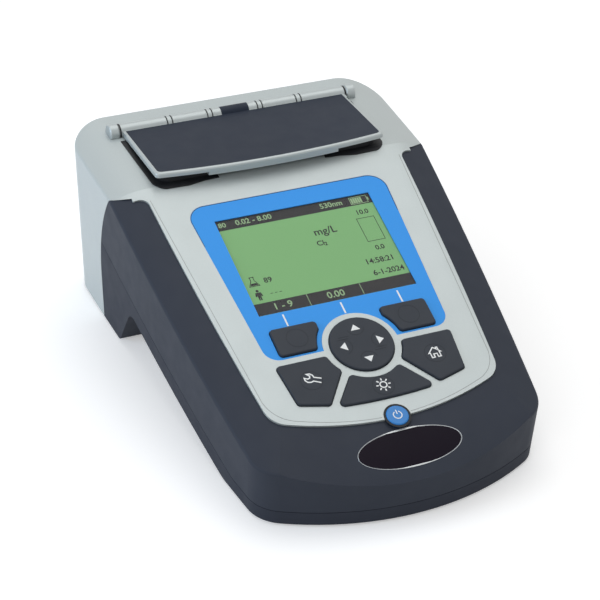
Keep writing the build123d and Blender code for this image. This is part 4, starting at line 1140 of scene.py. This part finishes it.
@dataclass
class LidTrim:
    """Dark bands around the hinge and the collar's rim beside the lid."""

    shop: Workshop
    hinge_y: float = 111.0
    hinge_z: float = 93.4
    barrel_radius: float = 4.0
    knuckles: Span = (12.8, 35.6)
    knuckle_width: float = 3.2
    cap_start: float = 65.6
    band: float = 0.5
    band_gap: float = 0.03
    band_proud: float = 0.07
    band_edge: float = 0.04
    end_band: float = 0.9
    end_gap: float = 0.3
    above: float = 120.0
    rim_width: float = 5.4
    rim_height: float = 0.5
    rim_side: Shape = ((63.8, 103.0), (63.0, 80.0), (62.3, 62.0))
    rim_corner: Point = (57.6, 61.6)
    rim_corner_radius: float = 4.7
    rim_front: Shape = ((47.0, 56.7), (38.2, 57.9), (30.0, 58.3))

    def build(self) -> None:
        """Build the bands and the rims."""
        self.add_hinge_bands()
        self.add_collar_rims()

    def add_collar_rims(self) -> None:
        """Add the collar's dark rim where it shows beside and in front of the lid."""
        corner = arc(self.rim_corner, self.rim_corner_radius, 0, -80, 10)[1:]
        path = [*self.rim_side, *corner, *self.rim_front]
        for name, points in (("collar_rim_right", path), ("collar_rim_left", mirrored(path))):
            rim = flat_area(name, ribbon(points, self.rim_width), 0.0)
            place = Matrix.Translation(Vector((0.0, 0.0, self.above * MM)))
            drape(rim, place, "upper_housing", self.rim_height / 2, self.rim_height)
            self.shop.fit(rim, HERE, "black")

    def add_hinge_bands(self) -> None:
        """Add the dark bands at both edges of each knuckle and at the lid's outer ends."""
        bands = []
        inset = self.band / 2 + self.band_gap
        for side in (-1, 1):
            for start in self.knuckles:
                for edge in (start + inset, start + self.knuckle_width - inset):
                    bands.append(self.hinge_band(side * edge, self.band))
        self.shop.fit(joined("hinge_bands", bands), HERE, "black")
        across = self.cap_start - self.end_band / 2 - self.end_gap
        ends = [self.hinge_band(side * across, self.end_band) for side in (-1, 1)]
        self.shop.fit(joined("lid_end_bands", ends), HERE, "black", Body.LID)

    def hinge_band(self, across: float, width: float) -> Piece:
        """Make one band around the hinge.

        Args:
            across: Its place along the hinge in millimetres.
            width: Its width in millimetres.

        Returns:
            The band.
        """
        bpy.ops.object.select_all(action="DESELECT")
        bpy.ops.mesh.primitive_cylinder_add(
            vertices=48,
            radius=(self.barrel_radius + self.band_proud) * MM,
            depth=width * MM,
            location=Vector((across, self.hinge_y, self.hinge_z)) * MM,
            rotation=(0.0, radians(90), 0.0),
        )
        band = bpy.context.active_object
        break_edges(self.band_edge, 1)
        return band


CARRIED: dict[str, tuple[str, ...]] = {
    "silver": ("upper_housing",),
    "charcoal": ("front_shell",),
    "lower": ("lower_housing", "battery_cover"),
    "rubber": ("housing_seal", "key_mat", "lid_seal", "cover_seal", "feet"),
    "overlay": ("display_overlay",),
    "window": ("display_window",),
    "white": ("lcd_panel", "lcd_frame", "lamp_holder"),
    "board": ("main_board", "detector_board"),
    "steel": ("board_screws", "bench_screws", "cover_screws", "housing_screws")
    + ("hinge_pin", "cell_spring"),
    "key": ("soft_key_left", "soft_key_right", "nav_pad")
    + ("settings_key", "backlight_key", "home_key"),
    "power": ("power_key",),
    "badge": ("badge_inlay",),
    "lid_silver": ("lid_frame", "hinge_caps"),
    "lid_dark": ("lid_inlay",),
    "black": ("lid_baffle", "cell_collar", "cell_well"),
    "dark_metal": ("optics_bench", "entrance_slit", "grating_mount"),
    "glass": ("lamp", "condenser_lens", "exit_lens"),
    "mirror": ("grating",),
    "chip": ("detector_array",),
    "jacket": ("battery_cells",),
    "contact": ("battery_contacts",),
}


@dataclass
class Carried:
    """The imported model's own pieces."""

    palette: Palette

    def dress_all(self) -> None:
        """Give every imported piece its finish."""
        for finish, nodes in CARRIED.items():
            for node in nodes:
                dress(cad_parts[node], self.palette.of(finish))
            LOG.info("dressed %s in %s", ", ".join(nodes), finish)


@dataclass
class Studio:
    """Camera, floor, world and lamps."""

    focal_mm: float = 122.415
    sensor_mm: float = 36.0
    camera_place: Spot = (-0.3735, -0.7831, 0.6184)
    camera_turn: Spot = (56.327, -2.224, -23.600)
    floor_size: float = 12.0
    floor_colour: Colour = (0.86, 0.865, 0.87)
    floor_mottle_mm: float = 180.0
    floor_glow: float = 0.36
    world_strength: float = 0.42

    def build(self) -> None:
        """Build the whole studio."""
        self.add_camera()
        self.add_floor()
        self.add_world()
        self.add_lamps()
        bpy.context.scene.view_settings.view_transform = "Standard"

    def add_camera(self) -> None:
        """Add the camera at the photograph's view."""
        data = bpy.data.cameras.new("photo_camera")
        data.sensor_width = self.sensor_mm
        data.lens = self.focal_mm
        data.clip_start = 0.05
        data.clip_end = 50.0
        camera = bpy.data.objects.new("photo_camera", data)
        camera.location = self.camera_place
        camera.rotation_euler = [radians(angle) for angle in self.camera_turn]
        bpy.context.collection.objects.link(camera)
        bpy.context.scene.camera = camera

    def add_floor(self) -> None:
        """Add the pale floor."""
        bpy.ops.object.select_all(action="DESELECT")
        bpy.ops.mesh.primitive_plane_add(size=self.floor_size)
        floor = bpy.context.active_object
        floor.name = "floor"
        sheet = NodeSheet("floor_paper")
        sheet.colour(sheet.noise(self.floor_mottle_mm, 2.0), self.floor_colour, 0.995, 1.005)
        sheet.set(Roughness=0.9, Specular_IOR_Level=0.1, Emission_Color=rgba(WHITE))
        glow = sheet.add("ShaderNodeMath")
        glow.operation = "MULTIPLY"
        glow.inputs[1].default_value = self.floor_glow
        sheet.join(seen_directly(sheet.tree), glow.inputs[0])
        sheet.join(glow.outputs["Value"], sheet.shader.inputs["Emission Strength"])
        dress(floor, sheet.material)

    def add_world(self) -> None:
        """Light the scene evenly, and show white to the camera and in reflections."""
        world = bpy.data.worlds.new("studio")
        bpy.context.scene.world = world
        world.use_nodes = True
        tree = world.node_tree
        background = tree.nodes["Background"]
        fill(background, Color=rgba(WHITE))
        strength = tree.nodes.new("ShaderNodeMapRange")
        fill(strength, To_Min=self.world_strength, To_Max=1.0)
        tree.links.new(seen_directly(tree), strength.inputs["Value"])
        tree.links.new(strength.outputs["Result"], background.inputs["Strength"])

    def add_lamps(self) -> None:
        """Add a large soft lamp above, a fill lamp in front and a cool lamp at the left."""
        self.add_lamp("top_lamp", (0.25, 0.35, 1.3), 1.2, 7.5, (1.0, 0.99, 0.97))
        self.add_lamp("front_lamp", (-0.9, -0.9, 0.9), 0.8, 3.6, (0.96, 0.98, 1.0))
        self.add_lamp("side_lamp", (-1.3, 0.2, 0.45), 0.6, 6.5, (0.60, 0.78, 1.0))

    def add_lamp(self, name: str, place: Spot, size: float, power: float, colour: Colour) -> None:
        """Add a square lamp that points at the middle of the part.

        Args:
            name: Name of the lamp.
            place: Where it hangs, in metres.
            size: Length of its side in metres.
            power: Power in watts.
            colour: Its colour.
        """
        data = bpy.data.lights.new(name, "AREA")
        data.size = size
        data.energy = power
        data.color = colour
        lamp = bpy.data.objects.new(name, data)
        lamp.location = place
        aim = Vector((0.0, 0.0, 0.04)) - Vector(place)
        lamp.rotation_euler = aim.to_track_quat("-Z", "Y").to_euler()
        bpy.context.collection.objects.link(lamp)


def main() -> None:
    """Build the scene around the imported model."""
    logging.basicConfig(level=logging.INFO, format="%(message)s")
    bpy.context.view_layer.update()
    palette = Palette()
    shop = Workshop(palette)
    Studio().build()
    Carried(palette).dress_all()
    for assembly in (Display(shop), Keypad(shop), PlateTrim(shop), LidTrim(shop)):
        assembly.build()


if __name__ == "__main__":
    main()
